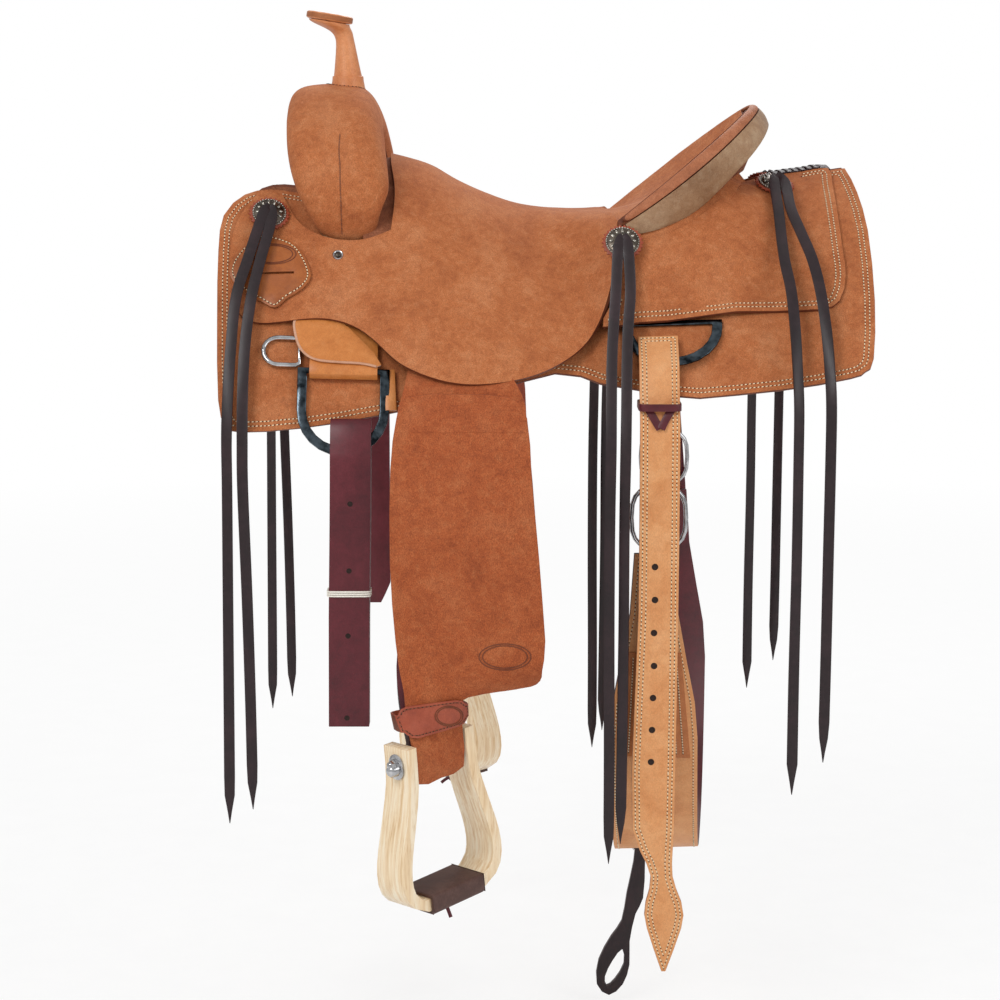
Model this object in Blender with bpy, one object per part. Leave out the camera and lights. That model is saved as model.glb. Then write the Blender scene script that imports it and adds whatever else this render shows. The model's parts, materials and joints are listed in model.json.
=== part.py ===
"""Western cutting saddle, as it sits on a saddle rack.

The saddle faces -X, its near (left) side is -Y and +Z is up. The origin is on the rack's ridge,
midway along the skirts. All sizes are in metres.
"""
import math

import bmesh
import bpy
from mathutils import Matrix, Vector
from mathutils.geometry import delaunay_2d_cdt

# Driving dimensions: the surface that the skirts lie on, by station along the saddle
STATION_X = (-0.36, -0.18, 0.0, 0.09, 0.235, 0.36)
GULLET_HALF = (0.090, 0.078, 0.060, 0.050, 0.010, 0.004)
RIDGE_HEIGHT = (0.068, 0.036, 0.004, 0.015, 0.060, 0.084)
TOP_SLOPE_DEG = (46, 43, 38, 35, 32, 30)
BARREL_RADIUS = 0.70

# Leather and fleece thicknesses, and the gap kept between touching pieces
SKIRT_THICK = 0.0045
JOCKEY_THICK = 0.004
FLEECE_THICK = 0.013
GAP = 0.0004
FLEECE_GAP = 0.0018

# Seat, cantle, fork and horn
SEAT_X = (-0.178, -0.133, -0.110, -0.075, -0.028, 0.020, 0.066, 0.100, 0.140, 0.180, 0.210, 0.238)
SEAT_Z = (0.100, 0.088, 0.0735, 0.056, 0.040, 0.034, 0.033, 0.037, 0.050, 0.075, 0.106, 0.152)
RIM_FRONT_X = 0.062
RIM_FRONT_Z = 0.012
RIM_RUN = 0.176
RIM_RISE = 0.142
RIM_HALF_WIDTH = 0.146
HORN_CAP_RADIUS = 0.0275

# Fender, stirrup leather and stirrup
FENDER_THICK = 0.005
STRAP_HALF_THICK = 0.0045
STRAP_HALF_WIDTH = 0.032
HOBBLE_Z = -0.5060
STIRRUP_YAW_DEG = 45.0
STIRRUP_ROLL_DEG = 6.5
BOLT_X = -0.1245
BOLT_Z = -0.553
BOLT_RADIUS = 0.0048
BOLT_BACK = -0.0042
WOOD_THICK = 0.013

# Pivots: each hanging piece turns about a point straight above its own centre of mass
FENDER_SWING_X = -0.1120
FENDER_SWING_Z = 0.0300
LIFT_Y = 0.2380
LIFT_Z = -0.1350
LATIGO_HANG_Y = 0.2633
OFF_BILLET_HANG_Y = 0.2607
FLANK_PIVOT = (0.1390, 0.2415, -0.2940)
CONNECTOR_PIVOT = (0.1190, 0.0, -0.7390)

# Straps, and the profile (height, distance out) of their fold over a front ring
LATIGO_WIDTH = 0.0445
FOLD_OUTER = ((-0.1826, 0.2545), (-0.1850, 0.2592), (-0.1955, 0.2652), (-0.2100, 0.2700),
              (-0.2250, 0.2740))
FOLD_INNER = ((-0.2150, 0.2495), (-0.2000, 0.2432), (-0.1965, 0.2435), (-0.1915, 0.2490),
              (-0.1850, 0.2515))
# The slot for the ring: its start and end down the ring's loop, and half its thickness
FOLD_SLOT = (0.0650, 0.0995, 0.0056)
BILLET_WIDTH = 0.044
STRING_RADIUS = 0.0028
CONNECTOR_HALF_THICK = 0.0050

NEAR = -1
OFF = 1
SIDES = (("near", NEAR), ("off", OFF))

LEATHER_ROUGHOUT = (0.50, 0.19, 0.075, 1)
LEATHER_SMOOTH = (0.62, 0.25, 0.08, 1)
LEATHER_GOLDEN = (0.80, 0.40, 0.15, 1)
LEATHER_RUSSET = (0.36, 0.08, 0.04, 1)
LEATHER_BURGUNDY = (0.12, 0.015, 0.02, 1)
LEATHER_DARK = (0.03, 0.015, 0.015, 1)
RAWHIDE = (0.42, 0.32, 0.22, 1)
FLEECE = (0.80, 0.74, 0.62, 1)
WOOD = (0.78, 0.58, 0.36, 1)
STEEL = (0.60, 0.60, 0.62, 1)
SILVER = (0.70, 0.68, 0.64, 1)


def clear_scene():
    for old in list(bpy.data.objects):
        bpy.data.objects.remove(old, do_unlink=True)


def material(name, colour, roughness, metallic=0.0):
    made = bpy.data.materials.new(name)
    made.use_nodes = True
    shader = made.node_tree.nodes["Principled BSDF"]
    shader.inputs["Base Color"].default_value = colour
    shader.inputs["Roughness"].default_value = roughness
    shader.inputs["Metallic"].default_value = metallic
    return made


def own_copy(finish, name):
    """Each object has a material of its own."""
    made = finish.copy()
    made.name = name
    return made


def smooth_at(x, xs, ys):
    """A smooth curve through the stations (xs, ys), read at x and held level past its ends."""
    x = min(max(x, xs[0]), xs[-1])
    i = 0
    while i < len(xs) - 2 and x > xs[i + 1]:
        i += 1

    def slope(k):
        a = max(k - 1, 0)
        b = min(k + 1, len(xs) - 1)
        return (ys[b] - ys[a]) / (xs[b] - xs[a])

    h = xs[i + 1] - xs[i]
    t = (x - xs[i]) / h
    rise = (3 - 2 * t) * t * t
    lead = ((t - 2) * t + 1) * t * h * slope(i)
    tail = (t - 1) * t * t * h * slope(i + 1)
    return ys[i] + (ys[i + 1] - ys[i]) * rise + lead + tail


def ease(t):
    """0 to 1 with level ends."""
    t = min(max(t, 0.0), 1.0)
    return t * t * (3 - 2 * t)


def through(points, steps, closed=True):
    """A smooth curve through points, with that many points for each span."""
    points = [Vector(p) for p in points]
    count = len(points)
    made = []
    for i in range(count if closed else count - 1):
        if closed:
            p0, p1, p2, p3 = (points[(i + k) % count] for k in (-1, 0, 1, 2))
        else:
            p0, p1, p2, p3 = (points[min(max(i + k, 0), count - 1)] for k in (-1, 0, 1, 2))
        for step in range(steps):
            t = step / steps
            a = p1 * 2
            b = (p2 - p0) * t
            c = (p0 * 2 - p1 * 5 + p2 * 4 - p3) * t * t
            d = (p1 * 3 - p0 - p2 * 3 + p3) * t * t * t
            made.append((a + b + c + d) / 2)
    if not closed:
        made.append(points[-1])
    return made


def flank(x, s, lift, side):
    """The point s down the flank at station x, lifted by lift off the surface under the skirt."""
    half = smooth_at(x, STATION_X, GULLET_HALF)
    top = smooth_at(x, STATION_X, RIDGE_HEIGHT)
    first = math.radians(smooth_at(x, STATION_X, TOP_SLOPE_DEG))
    turned = first + s / BARREL_RADIUS
    out = half + BARREL_RADIUS * (math.sin(turned) - math.sin(first)) + lift * math.sin(turned)
    up = top - BARREL_RADIUS * (math.cos(first) - math.cos(turned)) + lift * math.cos(turned)
    return Vector((x, side * out, up))


def jockey_lift(x, s):
    """How far the rear jockey's underside stands off: it rises over the tree bars' rear pads."""
    over_bars = 0.040 * ease((0.30 - x) / 0.12) * ease((0.20 - s) / 0.10) * ease((s + 0.01) / 0.06)
    over_ring = 0.005 * ease((x - 0.05) / 0.03) * ease((0.25 - x) / 0.03) * ease((s - 0.13) / 0.03)
    return 0.0050 + max(over_bars, over_ring)


def seat_lift(x):
    """How far the seat jockey's underside stands off at its lower edge, over rigging and leathers."""
    xs = (-0.36, -0.30, -0.26, -0.215, -0.175, -0.03, 0.03, 0.08)
    ys = (0.0050, 0.0060, 0.0108, 0.0128, 0.0290, 0.0310, 0.0180, 0.0120)
    return smooth_at(x, xs, ys)


def hang_on(made, pivot):
    """Move a body's origin to its pivot and leave the body where it is."""
    shift = Matrix.Translation(-Vector(pivot))
    made.data.transform(shift)
    made.location = pivot


def mesh_object(name, bm, finish, smooth=True):
    """An object from a bmesh, with its faces turned outwards."""
    bmesh.ops.remove_doubles(bm, verts=bm.verts, dist=0.00001)
    bmesh.ops.recalc_face_normals(bm, faces=bm.faces)
    mesh = bpy.data.meshes.new(name)
    bm.to_mesh(mesh)
    bm.free()
    if smooth:
        mesh.shade_smooth()
        mesh.set_sharp_from_angle(angle=math.radians(40))
    made = bpy.data.objects.new(name, mesh)
    bpy.context.collection.objects.link(made)
    mesh.materials.append(own_copy(finish, name))
    return made


def inside(p, loop):
    """Is the flat point p inside the closed loop?"""
    within = False
    for i, a in enumerate(loop):
        b = loop[i - 1]
        if (a.y > p.y) != (b.y > p.y) and p.x < (b.x - a.x) * (p.y - a.y) / (b.y - a.y) + a.x:
            within = not within
    return within


def thick_between(name, finish, flat, triangles, place, back, front):
    """A closed body from flat triangles, laid out twice: at the back and at the front lift."""
    bm = bmesh.new()
    tops = [bm.verts.new(place(p.x, p.y, front)) for p in flat]
    feet = [bm.verts.new(place(p.x, p.y, back)) for p in flat]
    sides = {}
    for face in triangles:
        bm.faces.new([tops[i] for i in face])
        bm.faces.new([feet[i] for i in reversed(face)])
        for i in range(len(face)):
            edge = (face[i - 1], face[i])
            sides[edge] = sides.get(edge, 0) + 1
    for a, b in list(sides):
        if (b, a) not in sides:
            bm.faces.new((tops[b], tops[a], feet[a], feet[b]))
    return mesh_object(name, bm, finish)


def sheet(name, finish, outline, place, back, front, spacing, holes=()):
    """A sheet cut to a flat outline with holes, then laid on a surface between two lifts."""
    loops = [[Vector(p) for p in loop] for loop in (outline, *holes)]
    points = []
    edges = []
    for loop in loops:
        first = len(points)
        points += loop
        edges += [(first + i, first + (i + 1) % len(loop)) for i in range(len(loop))]
    low = Vector((min(p.x for p in loops[0]), min(p.y for p in loops[0])))
    high = Vector((max(p.x for p in loops[0]), max(p.y for p in loops[0])))
    border = list(points)
    across = int((high.x - low.x) / spacing)
    along = int((high.y - low.y) / spacing)
    for i in range(1, across + 1):
        for j in range(1, along + 1):
            p = low + Vector(((i - 0.5 * (j % 2)) * spacing, j * spacing))
            free = min((p - q).length for q in border) > 0.6 * spacing
            if free and inside(p, loops[0]) and not any(inside(p, hole) for hole in loops[1:]):
                points.append(p)
    flat, _, faces, *_ = delaunay_2d_cdt(points, edges, [], 1, 1e-7)
    kept = []
    for face in faces:
        middle = (flat[face[0]] + flat[face[1]] + flat[face[2]]) / 3
        if inside(middle, loops[0]) and not any(inside(middle, hole) for hole in loops[1:]):
            kept.append(face)
    used = sorted({i for face in kept for i in face})
    number = {old: new for new, old in enumerate(used)}
    kept = [[number[i] for i in face] for face in kept]
    return thick_between(name, finish, [flat[i] for i in used], kept, place, back, front)


def skin(name, finish, sections, closed=False, smooth=True):
    """A body skinned over loops of points, capped at both ends unless it closes on itself."""
    bm = bmesh.new()
    rings = [[bm.verts.new(p) for p in section] for section in sections]
    count = len(rings[0])
    pairs = list(zip(rings, rings[1:]))
    if closed:
        pairs.append((rings[-1], rings[0]))
    for ring, after in pairs:
        for i in range(count):
            j = (i + 1) % count
            bm.faces.new((ring[i], ring[j], after[j]))
            bm.faces.new((ring[i], after[j], after[i]))
    if not closed:
        bm.faces.new(list(reversed(rings[0])))
        bm.faces.new(rings[-1])
    return mesh_object(name, bm, finish, smooth)


def tube(name, finish, points, radius, closed=False):
    curve = bpy.data.curves.new(name, "CURVE")
    curve.dimensions = "3D"
    spline = curve.splines.new("POLY")
    spline.points.add(len(points) - 1)
    for point, place in zip(spline.points, points):
        point.co = (*place, 1)
    spline.use_cyclic_u = closed
    curve.bevel_depth = radius
    curve.bevel_resolution = 2
    curve.use_fill_caps = not closed
    made = bpy.data.objects.new(name, curve)
    bpy.context.collection.objects.link(made)
    curve.materials.append(own_copy(finish, name))
    return made


def disc_ring(centre, first, second, radius, sides):
    """A circle of points about centre in the plane of two unit directions."""
    return [
        centre + (first * math.cos(a) + second * math.sin(a)) * radius
        for a in (math.tau * i / sides for i in range(sides))
    ]


def turned(name, finish, foot, axis, profile, sides=24):
    """A body turned about an axis: profile is (distance along the axis, radius) from end to end."""
    axis = axis.normalized()
    first = axis.orthogonal().normalized()
    second = axis.cross(first)
    sections = [disc_ring(foot + axis * far, first, second, r, sides) for far, r in profile]
    return skin(name, finish, sections)


def frame_on_flank(x, s, lift, side, tilt_deg=0.0):
    """A flat frame on the flank: its origin, the way along, the way down and the way out."""
    origin = flank(x, s, lift, side)
    along = (flank(x + 0.01, s, lift, side) - flank(x - 0.01, s, lift, side)).normalized()
    down = (flank(x, s + 0.01, lift, side) - flank(x, s - 0.01, lift, side)).normalized()
    along = (along - down * along.dot(down)).normalized()
    out = along.cross(down).normalized()
    if out.y * side < 0:
        out.negate()
    turn = math.radians(tilt_deg)
    down, out = down * math.cos(turn) + out * math.sin(turn), out * math.cos(turn) - down * math.sin(turn)
    return origin, along, down, out


def flat_place(frame):
    origin, along, down, out = frame

    def place(u, v, lift):
        return origin + along * u + down * v + out * lift

    return place


def inset(loop, depth):
    """A closed loop drawn in by depth, for a loop that turns anticlockwise or clockwise."""
    loop = [Vector(p) for p in loop]
    area = sum(loop[i - 1].x * p.y - p.x * loop[i - 1].y for i, p in enumerate(loop))
    turn = 1 if area > 0 else -1
    made = []
    for i, p in enumerate(loop):
        along = (loop[(i + 1) % len(loop)] - loop[i - 1]).normalized()
        moved = p + Vector((-along.y, along.x)) * turn * depth
        if min((moved - q).length for q in loop) > depth * 0.97:
            made.append(moved)
    return made


# Outlines on the flank, as (distance along the saddle, distance down from the ridge)
SKIRT_EDGE = (
    (-0.280, 0.002), (-0.312, 0.004), (-0.3402, 0.0180), (-0.3620, 0.0519), (-0.3655, 0.0992),
    (-0.3631, 0.1864), (-0.3591, 0.2785), (-0.3509, 0.3050), (-0.3345, 0.3108), (-0.2694, 0.2975),
    (-0.1825, 0.2716), (-0.090, 0.2380), (0.0096, 0.2014), (0.059, 0.2251), (0.1025, 0.2491),
    (0.1678, 0.2893), (0.2553, 0.3169), (0.3309, 0.3229), (0.3483, 0.3190), (0.3578, 0.3060),
    (0.3644, 0.2307), (0.3656, 0.1267), (0.3600, 0.0600), (0.3520, 0.0150), (0.3450, 0.0080),
    (0.300, 0.0065),
    (0.240, 0.0045), (0.195, 0.003), (0.150, 0.002), (0.100, 0.002), (0.050, 0.002), (0.0, 0.002),
    (-0.050, 0.002), (-0.100, 0.002), (-0.150, 0.002), (-0.215, 0.002),
)
REAR_JOCKEY_EDGE = (
    (0.0925, 0.0850), (0.0880, 0.0930), (0.0810, 0.1050), (0.0785, 0.1190),
    (0.0748, 0.1345), (0.0700, 0.1475), (0.0625, 0.1640), (0.1040, 0.1708), (0.1709, 0.1926),
    (0.2489, 0.2171), (0.3034, 0.2307), (0.3258, 0.2245), (0.3348, 0.1921), (0.3345, 0.1550),
    (0.3338, 0.0900), (0.3330, 0.0400), (0.3310, 0.0085), (0.300, 0.0065), (0.262, 0.004),
    (0.2440, 0.0060), (0.2290, 0.0120), (0.2170, 0.0225), (0.2090, 0.0410), (0.1990, 0.0620),
    (0.1780, 0.0780),
    (0.1530, 0.0860), (0.1310, 0.0875), (0.1110, 0.0835), (0.0985, 0.0810),
)
SEAT_EDGE = (
    (-0.178, 0.2060), (-0.1603, 0.2238), (-0.1165, 0.2365), (-0.0838, 0.2375), (-0.0403, 0.2298),
    (-0.0018, 0.2146), (0.0280, 0.1940), (0.0427, 0.1813), (0.0540, 0.1670), (0.0640, 0.1500),
    (0.0707, 0.1324), (0.0745, 0.1150), (0.0756, 0.1010), (0.0783, 0.0890), (0.0850, 0.0790),
)
FRONT_JOCKEY_TOP = (
    (-0.298, 0.012), (-0.281, 0.052), (-0.257, 0.0665), (-0.230, 0.0690), (-0.203, 0.0690),
)
FRONT_JOCKEY_FOOT = (
    (-0.3252, 0.1870), (-0.300, 0.1830), (-0.2718, 0.1751), (-0.239, 0.1687), (-0.205, 0.1780),
)


def make_skirts(finish, lining):
    edge = through(SKIRT_EDGE, 2)
    for label, side in SIDES:
        def place(x, s, lift, side=side):
            return flank(x, s, lift, side)

        sheet(f"skirt_{label}", finish, edge, place, 0.0, SKIRT_THICK, 0.040)
        sheet(f"fleece_{label}", lining, inset(edge, 0.012), place, -FLEECE_THICK, -FLEECE_GAP, 0.040)


def make_rear_jockeys(finish):
    edge = through(REAR_JOCKEY_EDGE, 2)
    for label, side in SIDES:
        def place(x, s, lift, side=side):
            return flank(x, s, jockey_lift(x, s) + lift, side)

        sheet(f"rear_jockey_{label}", finish, edge, place, 0.0, JOCKEY_THICK, 0.030)


def bar_thick(x):
    """The bars are thin where the fork stands on them and under the jockey in front of it."""
    return 0.0042 + 0.0058 * ease((x + 0.160) / 0.030)


def make_tree_bars(finish):
    edge = through(((-0.256, 0.022), (-0.258, 0.040), (-0.252, 0.060), (-0.225, 0.080), (-0.180, 0.097),
                    (-0.120, 0.105), (-0.060, 0.099), (0.0, 0.090), (0.080, 0.095), (0.145, 0.100),
                    (0.160, 0.080),
                    (0.155, 0.055), (0.100, 0.045), (0.050, 0.037), (0.0, 0.030), (-0.060, 0.026),
                    (-0.120, 0.022), (-0.180, 0.018), (-0.240, 0.016)), 2)
    for label, side in SIDES:
        def place(x, s, lift, side=side):
            return flank(x, s, SKIRT_THICK + 0.0012 + lift * bar_thick(x), side)

        sheet(f"tree_bar_{label}", finish, edge, place, 0.0, 1.0, 0.040)


def seat_columns(side):
    """The seat's columns: each runs from the spine out to the edge, as a curve and its end slope.

    A column is (spine point, edge point, the way in at the edge, reach at the spine, reach at the edge).
    """
    columns = []
    # along the seat jockey's lower edge and up its rear edge
    edge = through(SEAT_EDGE, 1, closed=False)
    count = len(edge)
    for i, p in enumerate(edge):
        t = i / (count - 1)
        spine_x = -0.178 + (0.062 + 0.178) * t
        lift = max(seat_lift(p.x), jockey_lift(p.x, p.y) + 0.0016) + JOCKEY_THICK
        foot = flank(p.x, p.y, lift, side)
        above = flank(p.x, p.y - 0.02, lift, side)
        spine = Vector((spine_x, 0, smooth_at(spine_x, SEAT_X, SEAT_Z)))
        wide = abs(foot.y)
        columns.append((spine, foot, (above - foot).normalized(), wide * 0.36, wide * 0.46))
    # the dish of the cantle
    for turn_deg in (84, 75, 66, 56, 46, 36, 27, 19, 12):
        turn = math.radians(turn_deg)
        rim = rim_point(turn, side) - RIM_UP * 0.0006 - rim_out(turn, side) * 0.0024
        spine_x = max(rim.x, 0.066)
        spine = Vector((spine_x, 0, smooth_at(spine_x, SEAT_X, SEAT_Z)))
        wide = abs(rim.y)
        inwards = Vector((0, -side, -0.35)).normalized()
        columns.append((spine, rim, inwards, wide * 0.45, wide * 0.35))
    return columns


RIM_TILT = math.atan2(RIM_RISE, RIM_RUN)
RIM_UP = Vector((-math.sin(RIM_TILT), 0, math.cos(RIM_TILT)))
RIM_BACK = Vector((math.cos(RIM_TILT), 0, math.sin(RIM_TILT)))
RIM_TURNS = (0.0, 0.35, 0.70, 1.05, 1.31, 1.48, 1.57)
RIM_WIDE = (0.0, 0.056, 0.104, 0.136, 0.1440, 0.1400, 0.1370)


def rim_point(turn, side):
    """A point of the cantle's crest: turn is 0 at its middle and a quarter turn at its ends."""
    lengthwise = Vector((RIM_FRONT_X, 0, RIM_FRONT_Z)) + Vector((RIM_RUN, 0, RIM_RISE)) * math.cos(turn)
    return lengthwise + Vector((0, side * smooth_at(turn, RIM_TURNS, RIM_WIDE), 0))


def rim_out(turn, side):
    """The outward direction in the rim's own plane."""
    long_half = math.hypot(RIM_RUN, RIM_RISE)
    out = RIM_BACK * (math.cos(turn) / long_half) + Vector((0, side * math.sin(turn) / RIM_HALF_WIDTH, 0))
    return out.normalized()


def column_point(column, q):
    spine, foot, inwards, near_reach, far_reach = column
    side = 1 if foot.y > 0 else -1
    a = spine + Vector((0, side * near_reach, 0))
    b = foot + inwards * far_reach
    r = 1 - q
    return spine * r**3 + a * (3 * r * r * q) + b * (3 * r * q * q) + foot * q**3


FORK_CLEARANCE = {2: 0.002, 3: 0.0075, 4: 0.0078, 5: 0.0045}


def make_seat(finish):
    """Seat and jockeys are one leather: it drapes from the spine and runs forward round the fork."""
    rows = 9
    notch_row = 5
    grid = {}
    for side in (NEAR, OFF):
        columns = seat_columns(side)
        for i, column in enumerate(columns):
            for j in range(rows + 1):
                grid[i, side * j] = column_point(column, j / rows)
        # the front edge steps back round the fork's feet
        for j, back in FORK_CLEARANCE.items():
            grid[0, side * j].x += back
        # front jockey: rows from the fork's foot down to the lower edge
        for k in range(len(FRONT_JOCKEY_TOP)):
            top = Vector(FRONT_JOCKEY_TOP[-1 - k])
            foot = Vector(FRONT_JOCKEY_FOOT[-1 - k])
            for j in range(notch_row, rows + 1):
                t = (j - notch_row) / (rows - notch_row)
                p = top.lerp(foot, t)
                lift = seat_lift(p.x) + JOCKEY_THICK
                grid[-1 - k, side * j] = flank(p.x, p.y, lift, side)
        # its rounded front edge
        nose = ((-0.3221, 0.0120), (-0.3450, 0.0500), (-0.3525, 0.0900), (-0.3510, 0.1350),
                (-0.3431, 0.1779))
        for j in range(notch_row, rows + 1):
            p = Vector(nose[j - notch_row])
            grid[-1 - len(FRONT_JOCKEY_TOP), side * j] = flank(p.x, p.y,
                                                               seat_lift(p.x) + JOCKEY_THICK, side)
    shell_from_grid("seat", finish, grid, JOCKEY_THICK)


def shell_from_grid(name, finish, grid, thick):
    """A closed shell: the grid's outer face, and the same face moved in by its own normals."""
    bm = bmesh.new()
    outer = {key: bm.verts.new(p) for key, p in grid.items()}
    quads = []
    for i, j in grid:
        corners = [(i, j), (i + 1, j), (i + 1, j + 1), (i, j + 1)]
        if all(c in grid for c in corners):
            quads.append(corners)
            bm.faces.new([outer[c] for c in corners[:3]])
            bm.faces.new([outer[c] for c in (corners[0], corners[2], corners[3])])
    bm.normal_update()
    up = sum((f.normal.z for f in bm.faces))
    turn = 1 if up > 0 else -1
    inner = {key: bm.verts.new(v.co - v.normal * turn * thick) for key, v in outer.items()}
    sides = set()
    for corners in quads:
        bm.faces.new([inner[c] for c in (corners[2], corners[1], corners[0])])
        bm.faces.new([inner[c] for c in (corners[3], corners[2], corners[0])])
        for k in range(4):
            sides.add((corners[k - 1], corners[k]))
    for a, b in sorted(sides):
        if (b, a) not in sides:
            bm.faces.new((outer[b], outer[a], inner[a], inner[b]))
    return mesh_object(name, bm, finish)


CANTLE_TURNS = (0.0, 0.47, 0.80, 1.05, 1.31, 1.45)
FOOT_X = (0.2370, 0.2123, 0.1941, 0.1640, 0.1210, 0.0960)
FOOT_Y = (0.0, 0.0448, 0.0972, 0.1225, 0.1375, 0.1410)
FOOT_Z = (0.0805, 0.0660, 0.0530, 0.0312, 0.0140, 0.0105)


def make_cantle(board_finish, roll_finish, band_finish):
    """The cantle board, the smooth roll over its crest and the rawhide band round its back."""
    roll = []
    band = []
    board = []
    for i in range(21):
        turn = math.radians(-83 + 166 * i / 20)
        side = 1 if turn >= 0 else -1
        amount = abs(turn)
        crest = rim_point(amount, side)
        out = rim_out(amount, side)
        reach = smooth_at(amount, CANTLE_TURNS, (0.0085, 0.0085, 0.0085, 0.0080, 0.0050, 0.0030))
        drop = smooth_at(amount, CANTLE_TURNS, (0.0095, 0.0120, 0.0140, 0.0140, 0.0115, 0.0085))
        profile = ((0.0006, -0.0008), (0.40 * reach, -0.0012), (0.92 * reach, 0.45 * -drop), (reach, -drop),
                   (reach - 0.0035, -drop), (0.92 * reach - 0.0035, -0.60 * drop - 0.0012),
                   (0.0006, -0.0052))
        roll.append([crest + out * a + RIM_UP * b for a, b in profile])
        seam = crest + out * reach - RIM_UP * (drop + 0.0005)
        foot = Vector((smooth_at(amount, CANTLE_TURNS, FOOT_X), side * smooth_at(amount,
                                                                                 CANTLE_TURNS, FOOT_Y),
                       smooth_at(amount, CANTLE_TURNS, FOOT_Z)))
        free = crest + out * 0.0064 - RIM_UP * (0.0301 + 0.013 * ease(amount / 0.8))
        low = free.lerp(foot, ease((amount - 0.50) / 0.50))
        bulge = (seam + low) / 2 + out * 0.0025
        band.append([seam, bulge, low, low - out * 0.0040, bulge - out * 0.0040, seam - out * 0.0038])
        heel = foot - out * 0.0050 * ease((amount - 0.70) / 0.25)
        top = seam - out * 0.0068 - RIM_UP * 0.0010
        under = low - out * 0.0068 + RIM_UP * 0.0012
        wall = under.lerp(heel, 0.40)
        inwards = Vector((-math.cos(amount), -side * math.sin(amount), 0.15)) * 0.016
        board.append([crest - out * 0.016 - RIM_UP * 0.0185, top, (top + under) / 2 + out * 0.0010,
                      under, wall,
                      heel, heel + inwards])
    skin("cantle_roll", roll_finish, roll)
    skin("cantle_binding", band_finish, band)
    skin("tree_cantle", board_finish, board)


FORK_T = (0.0, 0.25, 0.5, 0.7, 0.85, 0.95)
FORK_OUTER_Y = (0.0, 0.050, 0.104, 0.142, 0.154, 0.150)
FORK_OUTER_Z = (0.1805, 0.1720, 0.1440, 0.1000, 0.0550, 0.0230)
FORK_INNER_Y = (0.0, 0.030, 0.062, 0.084, 0.097, 0.106)
FORK_INNER_Z = (0.112, 0.109, 0.094, 0.072, 0.056, 0.046)
FORK_FRONT = (-0.2970, -0.2967, -0.2947, -0.2900, -0.2790, -0.2660)
FORK_BACK = (-0.1900, -0.1880, -0.1830, -0.1780, -0.1745, -0.1890)
FORK_LEAN = (0.0120, 0.0110, 0.0090, 0.0050, 0.0, 0.0)
FORK_FOOT = (-0.2250, 0.0425, 0.0350, 0.0225)


def fork_section(t, count, shrink, spread):
    """Points round the fork's section across the saddle at t, from -1 (near foot) to 1 (off foot)."""
    side = 1 if t >= 0 else -1
    amount = abs(t)
    made = []
    for i in range(count):
        angle = math.pi / 2 + spread - 2 * spread * i / (count - 1 if spread < math.pi else count)
        c = rounded(math.cos(angle))
        s = rounded(math.sin(angle))
        if amount > 0.99:
            x, down, half_x, half_down = FORK_FOOT
            made.append(flank(x + (half_x - shrink) * c, down + (half_down - shrink) * s, 0.0108, side))
            continue
        outer = Vector((0, side * smooth_at(amount, FORK_T, FORK_OUTER_Y),
                        smooth_at(amount, FORK_T, FORK_OUTER_Z)))
        inner = Vector((0, side * smooth_at(amount, FORK_T, FORK_INNER_Y),
                        smooth_at(amount, FORK_T, FORK_INNER_Z)))
        front = smooth_at(amount, FORK_T, FORK_FRONT)
        back = smooth_at(amount, FORK_T, FORK_BACK) - smooth_at(amount, FORK_T, FORK_LEAN) * s * max(c, 0)
        half_x = (back - front) / 2 - shrink
        half_thick = (outer - inner).length / 2 - shrink
        rise = (outer - inner).normalized()
        made.append((outer + inner) / 2 + Vector(((back + front) / 2 + half_x * c, 0,
                                                  0)) + rise * (half_thick * s))
    return made


def rounded(value):
    """Squares off a cosine or a sine, for a rounded box section."""
    return math.copysign(abs(value) ** 0.62, value)


def make_fork(tree_finish, cover_finish):
    """The fork of the tree, and the roughout cover drawn over it and tucked under its edges."""
    stops = (-1, -0.93, -0.85, -0.74, -0.6, -0.45, -0.3, -0.15, 0, 0.15, 0.3, 0.45, 0.6, 0.74,
             0.85, 0.93, 1)
    spread = math.radians(132)
    fork = [fork_section(t, 16, 0.0054, math.pi) for t in stops]
    cover = [fork_section(t, 13, 0.0, spread) + fork_section(t, 13, 0.0034, spread)[::-1] for t in stops]
    skin("tree_fork", tree_finish, fork)
    skin("swell_cover", cover_finish, cover)


def angles(count):
    return [math.tau * i / count for i in range(count)]


def make_horn(wrap_finish, cap_finish):
    """The wrapped horn neck flares forward into a bell, under a stacked leather cap."""
    # centre x, height, radius, backward tilt in degrees
    stack = (
        (-0.2280, 0.1822, 0.0178, 0), (-0.2285, 0.1900, 0.0160, 0), (-0.2295, 0.2060, 0.0136, 0),
        (-0.2305, 0.2230, 0.0112, 0), (-0.2318, 0.2320, 0.0106, 2), (-0.2350, 0.2385, 0.0130, 6),
        (-0.2445, 0.2440, 0.0210, 9), (-0.2490, 0.2475, 0.0240, 9), (-0.2496, 0.2500, 0.0244, 9),
    )
    sections = []
    for x, z, radius, tilt in stack:
        turn = math.radians(tilt)
        along = Vector((math.cos(turn), 0, -math.sin(turn)))
        sections.append(disc_ring(Vector((x, 0, z)), along, Vector((0, 1, 0)), radius, 20))
    skin("horn_wrap", wrap_finish, sections)
    tilt = math.radians(9)
    up = Vector((math.sin(tilt), 0, math.cos(tilt)))
    foot = Vector((-0.2496, 0, 0.2500)) + up * GAP
    turned("horn_cap", cap_finish, foot, up,
           ((0.0, 0.0255), (0.0015, HORN_CAP_RADIUS), (0.0072, HORN_CAP_RADIUS), (0.0087, 0.0255)), 20)


CONCHOS = {
    "front": (-0.3110, 0.0470),
    "mid": (0.0853, 0.1600, 0.0026),
    "rear": (0.2656, 0.0332),
}
MID_CONCHO_RISE_DEG = 36


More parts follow.
